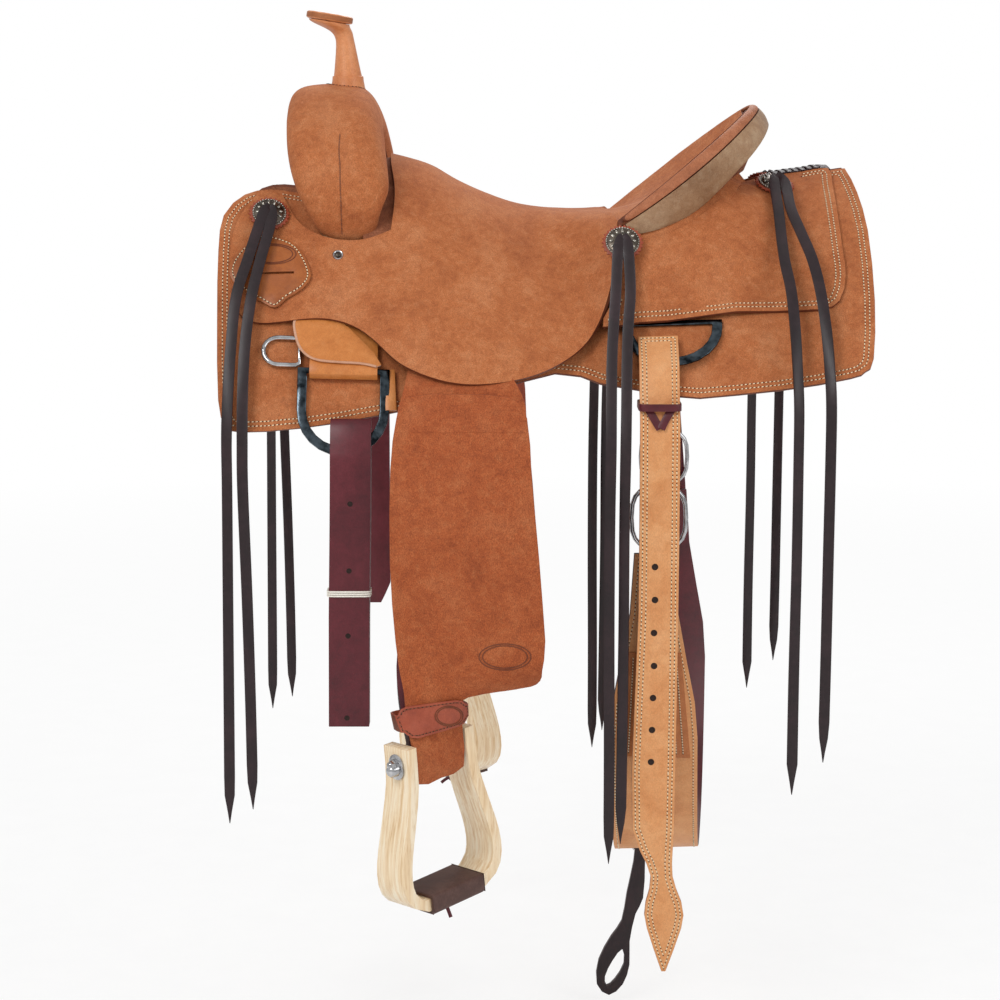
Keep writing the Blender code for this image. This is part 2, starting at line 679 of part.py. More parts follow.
def concho_frame(name, side):
    """A concho's centre and its ways along, down and out. The middle pair stands on the seat's corner."""
    if name == "mid":
        x, y, z = CONCHOS[name]
        rise = math.radians(MID_CONCHO_RISE_DEG)
        out = Vector((0, side * math.cos(rise), math.sin(rise)))
        down = Vector((0, side * math.sin(rise), -math.cos(rise)))
        return Vector((x, side * y, z)), Vector((1, 0, 0)), down, out
    x, s = CONCHOS[name]

    def leather(x, s):
        lift = seat_lift(x) if name == "front" else jockey_lift(x, s)
        return flank(x, s, lift + JOCKEY_THICK, side)

    reach = 0.020
    along = (leather(x + reach, s) - leather(x - reach, s)).normalized()
    down = (leather(x, s + reach) - leather(x, s - reach)).normalized()
    down = (down - along * down.dot(along)).normalized()
    out = along.cross(down)
    if out.y * side < 0:
        out.negate()
    stand_off = 0.0034 if name == "front" else 0.0024
    return leather(x, s) + out * stand_off, along, down, out


def make_conchos(finish):
    for name in CONCHOS:
        for label, side in SIDES:
            origin, _, _, out = concho_frame(name, side)
            turned(f"concho_{name}_{label}", finish, origin, out,
                   ((0.0, 0.0235), (0.0022, 0.0235), (0.0023, 0.0185), (0.0042, 0.0180), (0.0062, 0.0120),
                    (0.0056, 0.0040)), 16)


def make_latigo_keepers(finish):
    edge = through(((-0.3170, 0.075), (-0.3340, 0.0900), (-0.3485, 0.1150), (-0.3500, 0.1350),
                    (-0.3350, 0.1510), (-0.3160, 0.1600), (-0.2995, 0.1660), (-0.2860, 0.1530),
                    (-0.2700, 0.1400), (-0.2610, 0.1230), (-0.2680, 0.1000), (-0.2850, 0.0800)), 3)
    slot = [(-0.3205, 0.1255), (-0.3205, 0.1285), (-0.2800, 0.1220), (-0.2800, 0.1190)]
    for label, side in SIDES:
        def place(x, s, lift, side=side):
            return flank(x, s, seat_lift(x) + JOCKEY_THICK + GAP + lift, side)

        sheet(f"latigo_keeper_{label}", finish, edge, place, 0.0, 0.0032, 0.018, [slot])


# Front rigging: a leather roll carries a flat steel ring, which carries the latigo or the billet
FRONT_RING_X = -0.2225
FRONT_RING_S = 0.2290
FRONT_RING_LIFT = 0.0117
FRONT_RING_HALF = 0.0505
FRONT_RING_DROP = 0.0960
FRONT_RING_BAND = 0.0105
FRONT_RING_TILT = -5.0
RING_PLATE = 0.0035
ROLL_SLANT = 0.109


def front_ring_frame(side):
    return frame_on_flank(FRONT_RING_X, FRONT_RING_S, FRONT_RING_LIFT, side, FRONT_RING_TILT)


def make_front_rigging(leather, steel):
    for label, side in SIDES:
        hook = ((0.1300, 0.0088), (0.1900, 0.0100), (0.2200, 0.0176), (0.2290, 0.0192), (0.2352, 0.0180),
                (0.2385, 0.0118), (0.2352, 0.0060), (0.2290, 0.0050), (0.2200, 0.0050), (0.2200, 0.0070),
                (0.2280, 0.0074), (0.2335, 0.0086), (0.2355, FRONT_RING_LIFT), (0.2330, 0.0150),
                (0.2290, 0.0163), (0.2220, 0.0148), (0.1900, 0.0066), (0.1300, 0.0052))
        sections = []
        for i in range(7):
            x = FRONT_RING_X - 0.0371 + 0.0742 * i / 6
            # the roll is square to its ring's bar
            slant = ROLL_SLANT * (FRONT_RING_X - x)
            sections.append([flank(x, s + slant, lift, side) for s, lift in hook])
        skin(f"rigging_leather_{label}", leather, sections)
        dee_ring(f"front_rigging_ring_{label}", steel, front_ring_frame(side), FRONT_RING_HALF,
                 FRONT_RING_DROP, FRONT_RING_BAND, RING_PLATE)


def dee_ring(name, finish, frame, half, drop, band, plate):
    """A flat D of plate: a straight bar on top, and a round loop that hangs drop below it."""
    low = drop - half
    bar = 0.0030
    arc = [Vector((half * math.cos(a), low + half * math.sin(a))) for a in
           (math.pi * i / 12 for i in range(13))]
    outer = [Vector((half, -bar)), *arc, Vector((-half, -bar))]
    inner_half = half - band
    arc = [Vector((inner_half * math.cos(a), low + inner_half * math.sin(a))) for a in
           (math.pi * i / 12 for i in range(13))]
    inner = [Vector((inner_half, bar)), *arc, Vector((-inner_half, bar))]
    sheet(name, finish, outer, flat_place(frame), -plate / 2, plate / 2, 0.5, [inner])


REAR_RING_X = 0.1400
REAR_RING_S = 0.1820
REAR_RING_LIFT = 0.0072
REAR_RING_HALF = 0.0560
REAR_RING_DROP = 0.0620
REAR_RING_BAND = 0.0115
REAR_RING_TILT = 5.0


def rear_ring_frame(side):
    return frame_on_flank(REAR_RING_X, REAR_RING_S, REAR_RING_LIFT, side, REAR_RING_TILT)


def make_rear_rings(steel):
    for label, side in SIDES:
        dee_ring(f"rear_rigging_ring_{label}", steel, rear_ring_frame(side), REAR_RING_HALF,
                 REAR_RING_DROP, REAR_RING_BAND, 0.0030)


BREAST_X = -0.2710
BREAST_S = 0.2120


def breast_frame(side):
    return frame_on_flank(BREAST_X, BREAST_S, 0.0085, side)


def make_breast_dees(steel):
    """A round-wire D lies forward of its upright bar."""
    for label, side in SIDES:
        place = flat_place(breast_frame(side))
        half = 0.0160
        reach = 0.0400
        arc = [(-(reach - half) - half * math.sin(a), -half * math.cos(a)) for a in
               (math.pi * i / 10 for i in range(11))]
        path = [(0.0, -half * 0.9), (-0.004, -half), *arc, (-0.004, half), (0.0, half * 0.9)]
        tube(f"breast_dee_{label}", steel, [place(u, v, 0) for u, v in path], 0.0028, closed=True)


# Stirrup leather, fender and stirrup share one hanging line with a twist at its foot
def hang_y(z):
    """How far out the strap's middle hangs."""
    xs = (0.1435, 0.165, 0.19, 0.22, 0.26, 0.30, 0.60)
    return smooth_at(-z, xs, (0.2380, 0.2500, 0.2620, 0.2730, 0.2815, 0.2845, 0.2845))


def hang_x(z):
    return smooth_at(-z, (0.13, 0.20, 0.44, 0.555, 0.60), (-0.103, -0.105, -0.132, BOLT_X, BOLT_X))


def hang_frame(z, side):
    """The strap's middle at height z, the way across it and the way out of it."""
    turn = math.radians(STIRRUP_YAW_DEG) * ease((-0.45 - z) / 0.105)
    roll = math.radians(STIRRUP_ROLL_DEG) * ease((-0.40 - z) / 0.15)
    across = Vector((math.cos(turn) * math.cos(roll), -side * math.sin(turn) * math.cos(roll),
                     math.sin(roll)))
    out = Vector((math.sin(turn), side * math.cos(turn), 0))
    return Vector((hang_x(z), side * hang_y(z), z)), across, out


def make_fenders(finish):
    edge = (
        (-0.0480, -0.1590), (-0.0600, -0.1830), (-0.0610, -0.2350), (-0.0490, -0.3340), (-0.0340, -0.4220),
        (-0.0260, -0.4750), (-0.0310, -0.5050), (-0.0340, -0.5300), (-0.0345, -0.5720), (0.0000, -0.5750),
        (0.0345, -0.5720), (0.0340, -0.5300), (0.0345, -0.4990), (0.0430, -0.4895), (0.0800, -0.4870),
        (0.1130, -0.4850), (0.1240, -0.4760), (0.1270, -0.4600), (0.1290, -0.4220), (0.1130, -0.3340),
        (0.0930, -0.2450), (0.0820, -0.1810), (0.0640, -0.1600), (0.0100, -0.1560),
    )
    outline = through(edge, 2)
    for label, side in SIDES:
        def place(u, z, lift, side=side):
            middle, across, out = hang_frame(z, side)
            clear = 0.0018 + 0.0014 * ease((-0.44 - z) / 0.04)
            return middle + across * u + out * (STRAP_HALF_THICK + clear + lift)

        sheet(f"fender_{label}", finish, outline, place, 0.0, FENDER_THICK, 0.020)


def make_stirrup_leathers(finish):
    """The upper leather drops below the tree bar under the jockey; the lower one loops the bolt."""
    for label, side in SIDES:
        def under(x, s, lift, side=side):
            return flank(x, s, 0.0062 + lift, side)

        upper = ((-0.1350, 0.112), (-0.1350, 0.150), (-0.1350, 0.190), (-0.1350, 0.212), (-0.1030, 0.214),
                 (-0.0710, 0.212), (-0.0710, 0.190), (-0.0710, 0.150), (-0.0710, 0.112))
        sheet(f"stirrup_leather_upper_{label}", finish, upper, under, 0.0, 0.0080, 0.030)

        def place(z, out_by, across_by, side=side):
            middle, across, out = hang_frame(z, side)
            return middle + across * across_by + out * out_by

        half = STRAP_HALF_THICK
        heights = (-0.165, -0.19, -0.22, -0.26, -0.32, -0.40, -0.45, -0.46, -0.47, -0.48, -0.49,
                   -0.50, -0.51,
                   -0.52, -0.53, -0.54)
        front = [Vector((z, half)) for z in heights]
        back = [Vector((z, -half)) for z in heights[:-1]]
        # the fold round the bolt is fuller towards the back, behind the fender's tab
        fold = [Vector((BOLT_Z - 0.0120 * math.sin(a), BOLT_BACK + 0.0122 * math.cos(a)))
                for a in (math.radians(v) for v in (50, 75, 100, 125, 150, 175, 200, 225))]
        bore = [Vector((BOLT_Z + 0.0062 * math.cos(a),
                        BOLT_BACK + 0.0062 * math.sin(a))) for a in angles(12)]
        sheet(f"stirrup_leather_lower_{label}", finish, [*front, *fold, *reversed(back)], place,
              -STRAP_HALF_WIDTH, STRAP_HALF_WIDTH, 0.5, [bore])


def bolt_centre(side):
    middle, across, out = hang_frame(BOLT_Z, side)
    return middle + out * BOLT_BACK, across, out


def make_stirrups(wood, steel, leather):
    for label, side in SIDES:
        centre, across, out = bolt_centre(side)
        down = across.cross(out).normalized()
        if down.z > 0:
            down.negate()

        def place(u, v, lift, centre=centre, across=across, out=out, down=down):
            return centre + across * u + down * v + out * lift * (1 + 1.2 * max(v, 0))

        half = ((0.0370, -0.024), (0.0385, 0.020), (0.0480, 0.060), (0.0580, 0.095), (0.0620, 0.120),
                (0.0590, 0.138), (0.0470, 0.1500))
        inner = through(half, 2, closed=False)
        outer = []
        for i, p in enumerate(inner):
            after = inner[min(i + 1, len(inner) - 1)]
            before = inner[max(i - 1, 0)]
            along = (after - before).normalized()
            outer.append(p + Vector((along.y, -along.x)) * WOOD_THICK)
        outer[-1] = Vector((0.0430, 0.1640))
        loop = [*inner, *[Vector((-p.x, p.y)) for p in reversed(inner)]]
        loop += [*[Vector((-p.x, p.y)) for p in outer], *reversed(outer)]
        frame = sheet(f"stirrup_frame_{label}", wood, loop, place, -0.0190, 0.0190, 0.5)
        cut_bore(frame, centre, across, BOLT_RADIUS + 0.0006)
        bolt_profile = (
            (-0.0640, 0.0020), (-0.0625, 0.0050), (-0.0600, 0.0070), (-0.0530, 0.0075), (-0.0529, 0.0120),
            (-0.0515, 0.0120), (-0.0514, BOLT_RADIUS), (0.0514, BOLT_RADIUS), (0.0515, 0.0120),
            (0.0529, 0.0120), (0.0530, 0.0075), (0.0580, 0.0075), (0.0590, 0.0050),
        )
        turned(f"stirrup_bolt_{label}", steel, centre, across, bolt_profile, 16)

        def across_place(w, v, lift, centre=centre, across=across, out=out, down=down):
            return centre + across * lift + down * v + out * w

        tread_out = [Vector((x, y)) for x, y in ((-0.0270, 0.1500), (-0.0250, 0.1462), (0.0250, 0.1462),
                                                 (0.0270, 0.1500), (0.0270, 0.1650), (0.0240, 0.1690),
                                                 (-0.0240, 0.1690), (-0.0270, 0.1650))]
        tread_in = [Vector((x, y)) for x, y in ((-0.0232, 0.1494), (0.0232, 0.1494), (0.0232, 0.1648),
                                                (-0.0232, 0.1648))]
        sheet(f"stirrup_tread_{label}", leather, tread_out, across_place, -0.0400, 0.0400, 0.5, [tread_in])


def cut_bore(target, centre, axis, radius):
    """Cut a round hole right through the target along an axis."""
    bm = bmesh.new()
    bmesh.ops.create_cone(bm, cap_ends=True, segments=16, radius1=radius, radius2=radius, depth=0.3)
    turn = Vector((0, 0, 1)).rotation_difference(axis).to_matrix().to_4x4()
    bm.transform(Matrix.Translation(centre) @ turn)
    mesh = bpy.data.meshes.new(target.name + "_cutter")
    bm.to_mesh(mesh)
    bm.free()
    cutter = bpy.data.objects.new(target.name + "_cutter", mesh)
    bpy.context.collection.objects.link(cutter)
    cutter.hide_render = True
    cutter.display_type = "WIRE"
    cut = target.modifiers.new("bore", "BOOLEAN")
    cut.operation = "DIFFERENCE"
    cut.solver = "EXACT"
    cut.object = cutter


def make_hobble_straps(finish):
    """A band round the strap stack and the fender's neck, wider at its front."""
    for label, side in SIDES:
        sections = []
        for a in angles(20):
            c = math.cos(a)
            s = math.sin(a)
            u = 0.0405 * math.copysign(abs(c) ** 0.35, c)
            w = 0.0034 + 0.0110 * math.copysign(abs(s) ** 0.35, s)
            half_tall = 0.0085 + 0.0080 * ease((s - 0.55) / 0.4)
            rim = []
            for thick, tall in ((0, -half_tall), (0.0028, -half_tall), (0.0028, half_tall), (0, half_tall)):
                middle, across, out = hang_frame(HOBBLE_Z + tall, side)
                rim.append(middle + across * (u + c * thick) + out * (w + s * thick))
            sections.append(rim)
        skin(f"hobble_strap_{label}", finish, sections, closed=True)


def strap_place(side, out_at, x_at, half_width_at):
    """Lays a strap's side profile out: height, distance out of its middle, and -1 to 1 across."""
    def place(z, out_by, across, side=side):
        x = x_at(z) + across * half_width_at(z)
        return Vector((x, side * (out_at(z) + out_by), z))

    return place


def slot_in(ring, near, far, half, side, out_at):
    """The slot that a ring's loop passes through, in a strap's own heights and distances out."""
    made = []
    for v, w in ((near, -half), (near, half), ((near + far) / 2, half), (far, half), (far, -half),
                 ((near + far) / 2, -half)):
        p = ring(0, v, w)
        made.append(Vector((p.z, side * p.y - out_at(p.z))))
    return made


def front_strap_profile(outer, inner):
    """The side profile (height, distance out) of a strap folded over the front ring."""
    made = through(FOLD_OUTER, 2, closed=False)
    return made + [Vector(p) for p in outer + inner + FOLD_INNER]


def make_latigo(finish):
    """The near latigo: several turns of strap, folded over the front ring's loop."""
    ring = flat_place(front_ring_frame(NEAR))
    slot = slot_in(ring, *FOLD_SLOT, NEAR, lambda z: 0.0)

    def centre_x(z):
        return -0.2135 - 0.004 * ease((-0.2 - z) / 0.3)

    outer = ((-0.2500, 0.2750), (-0.3000, 0.2752), (-0.4000, 0.2750), (-0.5220, 0.2750))
    inner = ((-0.5220, 0.2530), (-0.4000, 0.2530), (-0.3000, 0.2530), (-0.2500, 0.2535))
    outline = front_strap_profile(outer, inner)
    place = strap_place(NEAR, lambda z: 0.0, centre_x, lambda z: LATIGO_WIDTH / 2)
    sheet("latigo", finish, outline, place, -1.0, 1.0, 0.5, [slot])


def make_off_billet(finish):
    """The off billet: a doubled strap folded over the off front ring."""
    ring = flat_place(front_ring_frame(OFF))
    slot = slot_in(ring, *FOLD_SLOT, OFF, lambda z: 0.0)

    def half_width(z):
        return (LATIGO_WIDTH / 2) * (1 - 0.55 * ease((-0.462 - z) / 0.028))

    outer = ((-0.2500, 0.2735), (-0.3000, 0.2690), (-0.4000, 0.2670), (-0.4620, 0.2670),
             (-0.4760, 0.2670), (-0.4880, 0.2670))
    inner = ((-0.4880, 0.2550), (-0.4760, 0.2550), (-0.4620, 0.2550), (-0.4000, 0.2550),
             (-0.3000, 0.2545), (-0.2500, 0.2540))
    outline = front_strap_profile(outer, inner)
    place = strap_place(OFF, lambda z: 0.0, lambda z: -0.2165, half_width)
    sheet("off_billet", finish, outline, place, -1.0, 1.0, 0.5, [slot])


def make_rear_billets(finish):
    """The rear billets fold over the rear rings, lie on the skirts and hang past their edges."""
    near_shape = ((0.10, 0.1235, 1.0), (0.40, 0.1235, 1.0), (0.645, 0.1200, 1.06), (0.70, 0.1300, 0.56),
                  (0.745, 0.1330, 1.0), (0.811, 0.1330, 0.10))
    off_shape = ((0.10, 0.1480, 1.0), (0.30, 0.1640, 1.0), (0.40, 0.1700, 1.0), (0.46, 0.1720, 0.5))
    for label, side in SIDES:
        shape = near_shape if side == NEAR else off_shape
        ring = flat_place(rear_ring_frame(side))
        slot = slot_in(ring, 0.0245 if side == NEAR else 0.0330, 0.0640, 0.0026, side, lambda z: 0.0)
        rows = [(z, 0.2465, 0.2535) for z in (-0.210, -0.26, -0.33, -0.40)]
        if side == NEAR:
            rows += [(z, 0.2465, 0.2535) for z in (-0.50, -0.58, -0.645, -0.67, -0.685, -0.70,
                                                   -0.715, -0.73, -0.745, -0.76, -0.785, -0.8108)]
        else:
            rows += [(z, 0.2465, 0.2535) for z in (-0.43, -0.46)]
        top = [ring(0, v, w) for v, w in ((0.0205, 0.0010), (0.0215, 0.0040), (0.0245, 0.0046),
                                          (0.0450, 0.0050), (0.0660, 0.0046))]
        under = [ring(0, v, w) for v, w in ((0.0660, -0.0044), (0.0450, -0.0046), (0.0245, -0.0046),
                                            (0.0215, -0.0040), (0.0205, -0.0010))]
        shift = 0.0008 if side == NEAR else 0.0018
        bend_out = ((-0.150, 0.2345 + shift), (-0.170, 0.2440 + shift), (-0.188, 0.2515 + shift / 2))
        bend_in = ((-0.188, 0.2460 + shift / 2), (-0.170, 0.2385 + shift), (-0.152, 0.2265 + shift))
        outline = [Vector((p.z, side * p.y)) for p in top]
        outline += [Vector(p) for p in bend_out]
        outline += [Vector((z, far)) for z, _, far in rows]
        outline += [Vector((z, close)) for z, close, _ in reversed(rows)]
        outline += [Vector(p) for p in bend_in]
        outline += [Vector((p.z, side * p.y)) for p in under]
        downs = [row[0] for row in shape]

        def centre_x(z, downs=downs, shape=shape):
            return smooth_at(-z, downs, [row[1] for row in shape])

        def half_width(z, downs=downs, shape=shape):
            return BILLET_WIDTH / 2 * smooth_at(-z, downs, [row[2] for row in shape])

        ring_along = rear_ring_frame(side)[1]

        def place(z, y, across, side=side, ring_along=ring_along, centre_x=centre_x, half_width=half_width):
            way = ring_along.lerp(Vector((1, 0, 0)), ease((-0.120 - z) / 0.070))
            reach = centre_x(z) - REAR_RING_X + across * half_width(z)
            return Vector((REAR_RING_X, side * y, z)) + way * reach

        sheet(f"rear_billet_{label}", finish, outline, place, -1.0, 1.0, 0.5, [slot])


def make_flank_cinch(leather, steel, strap):
    """The rear cinch hangs as a U between the billets, with a buckle at each end."""
    def middle(t):
        turn = math.pi * t
        y = -0.2330 * math.copysign(abs(math.cos(turn)) ** 0.75, math.cos(turn))
        z = -0.3350 - 0.3900 * math.sin(turn) ** 0.85
        return Vector((0.1430 + 0.10 * y, y, z))

    sections = []
    steps = 24
    for i in range(steps + 1):
        t = i / steps
        here = middle(t)
        along = (middle(min(t + 0.01, 1)) - middle(max(t - 0.01, 0))).normalized()
        across = Vector((1, 0.10, 0)).normalized()
        out = along.cross(across).normalized() * 0.0030
        half = 0.0225 + 0.0275 * ease(min(t, 1 - t) / 0.16)
        sections.append([here - across * half - out, here - across * half + out,
                         here + across * half + out, here + across * half - out])
    skin("flank_cinch", leather, sections, smooth=False)
    for label, side in SIDES:
        x = 0.1235 if side == NEAR else 0.1600
        y = side * 0.2415
        half = 0.0300
        tall = 0.0340
        path = []
        for a in angles(20):
            c = math.cos(a)
            s = math.sin(a)
            path.append(Vector((x + half * math.copysign(abs(c) ** 0.7, c), y,
                                -0.2940 + tall * math.copysign(abs(s) ** 0.7, s))))
        tube(f"cinch_buckle_{label}", steel, path, 0.0026, closed=True)
    make_connector(strap)


def make_connector(finish):
    """The connecting strap hangs from the middle of the flank cinch, its end looped back."""
    outline = through(((0.1230, -0.7330), (0.1260, -0.7600), (0.1240, -0.8050), (0.1150, -0.8250),
                       (0.1080, -0.8600), (0.1080, -0.8900), (0.1000, -0.9150), (0.0830, -0.9290),
                       (0.0680, -0.9150), (0.0700, -0.8850), (0.0850, -0.8550), (0.0980, -0.8350),
                       (0.1040, -0.8000), (0.1120, -0.7600), (0.1150, -0.7330)), 2)
    loop = through(((0.0990, -0.8700), (0.1010, -0.8900), (0.0900, -0.9100), (0.0800, -0.9180),
                    (0.0780, -0.9050), (0.0870, -0.8850)), 2)

    def place(x, z, lift):
        return Vector((x, lift, z))

    half = CONNECTOR_HALF_THICK
    sheet("connector_strap", finish, outline, place, -half, half, 0.5, [loop])


# Saddle strings: each pair is one thong drawn through its concho. Routes are (x, out, height)
FRONT_STRING_A = ((-0.330, 0.1790, -0.0130), (-0.341, 0.2080, -0.0540),
                  (-0.346, 0.2350, -0.1080), (-0.348, 0.2570, -0.1600), (-0.349, 0.2680, -0.2050),
                  (-0.349, 0.2700, -0.2600), (-0.350, 0.2700, -0.3800), (-0.352, 0.2700, -0.5100),
                  (-0.354, 0.2700, -0.6330))
FRONT_STRING_B = ((-0.317, 0.1800, -0.0170), (-0.325, 0.2080, -0.0580),
                  (-0.330, 0.2350, -0.1100), (-0.331, 0.2570, -0.1620), (-0.331, 0.2680, -0.2060),
                  (-0.331, 0.2700, -0.2600), (-0.328, 0.2700, -0.3800), (-0.326, 0.2700, -0.5000),
                  (-0.325, 0.2700, -0.6170))
MID_STRING_A = ((0.0770, 0.1890, -0.0480), (0.0740, 0.2050, -0.0850),
                (0.0715, 0.2250, -0.1250), (0.0705, 0.2440, -0.1700), (0.0700, 0.2570, -0.2200),
                (0.0690, 0.2590, -0.3000), (0.0690, 0.2590, -0.4200), (0.0700, 0.2590, -0.5600),
                (0.0700, 0.2590, -0.6830))
MID_STRING_B = ((0.0930, 0.1890, -0.0500), (0.0900, 0.2050, -0.0870),
                (0.0880, 0.2250, -0.1260), (0.0870, 0.2440, -0.1710), (0.0860, 0.2570, -0.2200),
                (0.0850, 0.2590, -0.3000), (0.0850, 0.2590, -0.4200), (0.0840, 0.2590, -0.5600),
                (0.0830, 0.2590, -0.6600))
REAR_STRING_A = ((0.2650, 0.1010, 0.0330), (0.2650, 0.1330, 0.0060),
                 (0.2660, 0.1640, -0.0200), (0.2700, 0.1950, -0.0500), (0.2720, 0.2230, -0.0880),
                 (0.2730, 0.2450, -0.1300), (0.2740, 0.2580, -0.1700), (0.2740, 0.2610, -0.2300),
                 (0.2740, 0.2610, -0.3400), (0.2730, 0.2610, -0.4700), (0.2730, 0.2610, -0.6030))
REAR_STRING_B = ((0.2780, 0.1000, 0.0360), (0.2870, 0.1320, 0.0110),
                 (0.2960, 0.1640, -0.0160), (0.3020, 0.1940, -0.0480), (0.3060, 0.2240, -0.0880),
                 (0.3080, 0.2460, -0.1290), (0.3090, 0.2590, -0.1690), (0.3090, 0.2610, -0.2300),
                 (0.3085, 0.2610, -0.3400), (0.3080, 0.2610, -0.4600), (0.3070, 0.2610, -0.5660))


def make_strings(finish):
    for name, first, second in (("front", FRONT_STRING_A, FRONT_STRING_B),
                                ("mid", MID_STRING_A, MID_STRING_B),
                                ("rear", REAR_STRING_A, REAR_STRING_B)):
        for label, side in SIDES:
            at = flat_place(concho_frame(name, side))
            knot = [at(-0.0065, 0.0200, 0.0085), at(-0.0045, 0.0040, 0.0100), at(0.0, -0.0010, 0.0102),
                    at(0.0045, 0.0040, 0.0100), at(0.0065, 0.0200, 0.0085)]
            down = [Vector((x, side * y, z)) for x, y, z in first]
            also = [Vector((x, side * y, z)) for x, y, z in second]
            route = [*reversed(down), *knot, *also]
            tube(f"saddle_strings_{name}_{label}", finish, through(route, 2, closed=False), STRING_RADIUS)


def swing_pivot(side):
    """The stirrup leather turns fore and aft about this point of the tree bar."""
    return Vector((FENDER_SWING_X, side * 0.1250, FENDER_SWING_Z))


def lift_pivot(side):
    """The fender lifts outwards about this point under the jockey's edge."""
    return Vector((FENDER_SWING_X, side * LIFT_Y, LIFT_Z))


def strap_pivot(ring_frame, side, drop, out):
    """Where a hanging strap bears on the bottom of its ring."""
    low = flat_place(ring_frame(side))(0, drop, 0)
    return Vector((low.x, side * out, low.z))


def set_pivots():
    """Every moving body has its origin on its joint's axis."""
    pivots = {"connector_strap": CONNECTOR_PIVOT}
    for name in ("flank_cinch", "cinch_buckle_near", "cinch_buckle_off"):
        pivots[name] = FLANK_PIVOT
    for label, side in SIDES:
        pivots[f"stirrup_leather_upper_{label}"] = swing_pivot(side)
        for name in ("fender", "stirrup_leather_lower", "hobble_strap"):
            pivots[f"{name}_{label}"] = lift_pivot(side)
        for name in ("stirrup_frame", "stirrup_bolt", "stirrup_tread"):
            pivots[f"{name}_{label}"] = bolt_centre(side)[0]
        pivots[f"front_rigging_ring_{label}"] = front_ring_frame(side)[0]
        pivots[f"rear_rigging_ring_{label}"] = rear_ring_frame(side)[0]
        pivots[f"rear_billet_{label}"] = rear_ring_frame(side)[0]
        pivots[f"breast_dee_{label}"] = breast_frame(side)[0]
    pivots["latigo"] = strap_pivot(front_ring_frame, NEAR, 0.0900, LATIGO_HANG_Y)
    pivots["off_billet"] = strap_pivot(front_ring_frame, OFF, 0.0900, OFF_BILLET_HANG_Y)
    for name, pivot in pivots.items():
        hang_on(bpy.data.objects[name], pivot)


def main():
    clear_scene()
    roughout = material("roughout leather", LEATHER_ROUGHOUT, 0.95)
    smooth_side = material("smooth russet leather", LEATHER_SMOOTH, 0.5)
    golden = material("golden harness leather", LEATHER_GOLDEN, 0.5)
    russet = material("red russet leather", LEATHER_RUSSET, 0.45)
    burgundy = material("burgundy latigo leather", LEATHER_BURGUNDY, 0.4)
    dark = material("dark oiled leather", LEATHER_DARK, 0.5)
    rawhide = material("rawhide", RAWHIDE, 0.55)
    wool = material("fleece", FLEECE, 1.0)
    ash = material("ash wood", WOOD, 0.45)
    steel = material("stainless steel", STEEL, 0.2, 1.0)
    silver = material("silver", SILVER, 0.3, 1.0)
    make_skirts(roughout, wool)
    make_rear_jockeys(roughout)
    make_tree_bars(rawhide)
    make_seat(roughout)
    make_cantle(roughout, smooth_side, rawhide)
    make_fork(rawhide, roughout)
    make_horn(smooth_side, smooth_side)
    make_conchos(silver)
    make_latigo_keepers(golden)
    make_front_rigging(smooth_side, steel)
    make_breast_dees(steel)
    make_rear_rings(steel)
    make_fenders(roughout)
    make_stirrup_leathers(burgundy)
    make_hobble_straps(russet)
    make_stirrups(ash, steel, dark)
    make_latigo(burgundy)
    make_off_billet(burgundy)
    make_rear_billets(golden)
    make_flank_cinch(golden, steel, dark)
    make_strings(dark)
    set_pivots()


main()
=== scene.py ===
# %% [markdown]
# # Looks of a western cutting saddle
# The solids of the saddle are loaded as a fixed frame: every strap, ring and shell is already
# in its place and at its real size, in metres. This script gives each of them its finish. Leather
# pieces are copied from the frame, welded, rounded at their edges and sewn. The fleece is a
# remeshed copy, and the conchos and strings are modelled new in the space that their solids hold.

# %% Load the frame
import json
import math

import bmesh
import bpy
import numpy as np
from mathutils import Matrix, Vector
from mathutils.bvhtree import BVHTree
from mathutils.kdtree import KDTree


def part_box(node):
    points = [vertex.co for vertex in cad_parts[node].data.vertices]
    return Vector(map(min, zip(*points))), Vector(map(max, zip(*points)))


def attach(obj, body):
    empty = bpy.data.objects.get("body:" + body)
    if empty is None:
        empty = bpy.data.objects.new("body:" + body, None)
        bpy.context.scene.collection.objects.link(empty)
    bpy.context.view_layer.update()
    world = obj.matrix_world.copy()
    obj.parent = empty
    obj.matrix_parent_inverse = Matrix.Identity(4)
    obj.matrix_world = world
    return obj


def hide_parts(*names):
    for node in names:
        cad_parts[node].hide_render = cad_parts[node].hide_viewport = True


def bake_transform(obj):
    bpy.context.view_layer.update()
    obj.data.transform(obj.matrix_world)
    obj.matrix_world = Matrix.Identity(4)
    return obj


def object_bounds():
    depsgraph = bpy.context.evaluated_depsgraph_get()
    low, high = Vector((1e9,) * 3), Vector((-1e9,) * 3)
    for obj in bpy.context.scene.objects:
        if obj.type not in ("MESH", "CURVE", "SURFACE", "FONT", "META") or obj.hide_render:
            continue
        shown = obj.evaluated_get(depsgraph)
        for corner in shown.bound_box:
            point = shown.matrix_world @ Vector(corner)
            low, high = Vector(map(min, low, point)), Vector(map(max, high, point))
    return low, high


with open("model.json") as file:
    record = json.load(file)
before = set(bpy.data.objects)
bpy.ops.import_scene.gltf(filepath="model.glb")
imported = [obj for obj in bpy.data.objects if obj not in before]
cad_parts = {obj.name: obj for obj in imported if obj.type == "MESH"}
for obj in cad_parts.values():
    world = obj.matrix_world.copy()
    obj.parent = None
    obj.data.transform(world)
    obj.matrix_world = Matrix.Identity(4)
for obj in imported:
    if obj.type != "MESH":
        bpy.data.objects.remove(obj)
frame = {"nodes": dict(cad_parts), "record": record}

MM = 0.001
CAD_BOX = [list(corner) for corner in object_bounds()]
SIDES = (("near", -1), ("off", 1))
BODIES = frame["record"]["behaviour"]["bodies"]
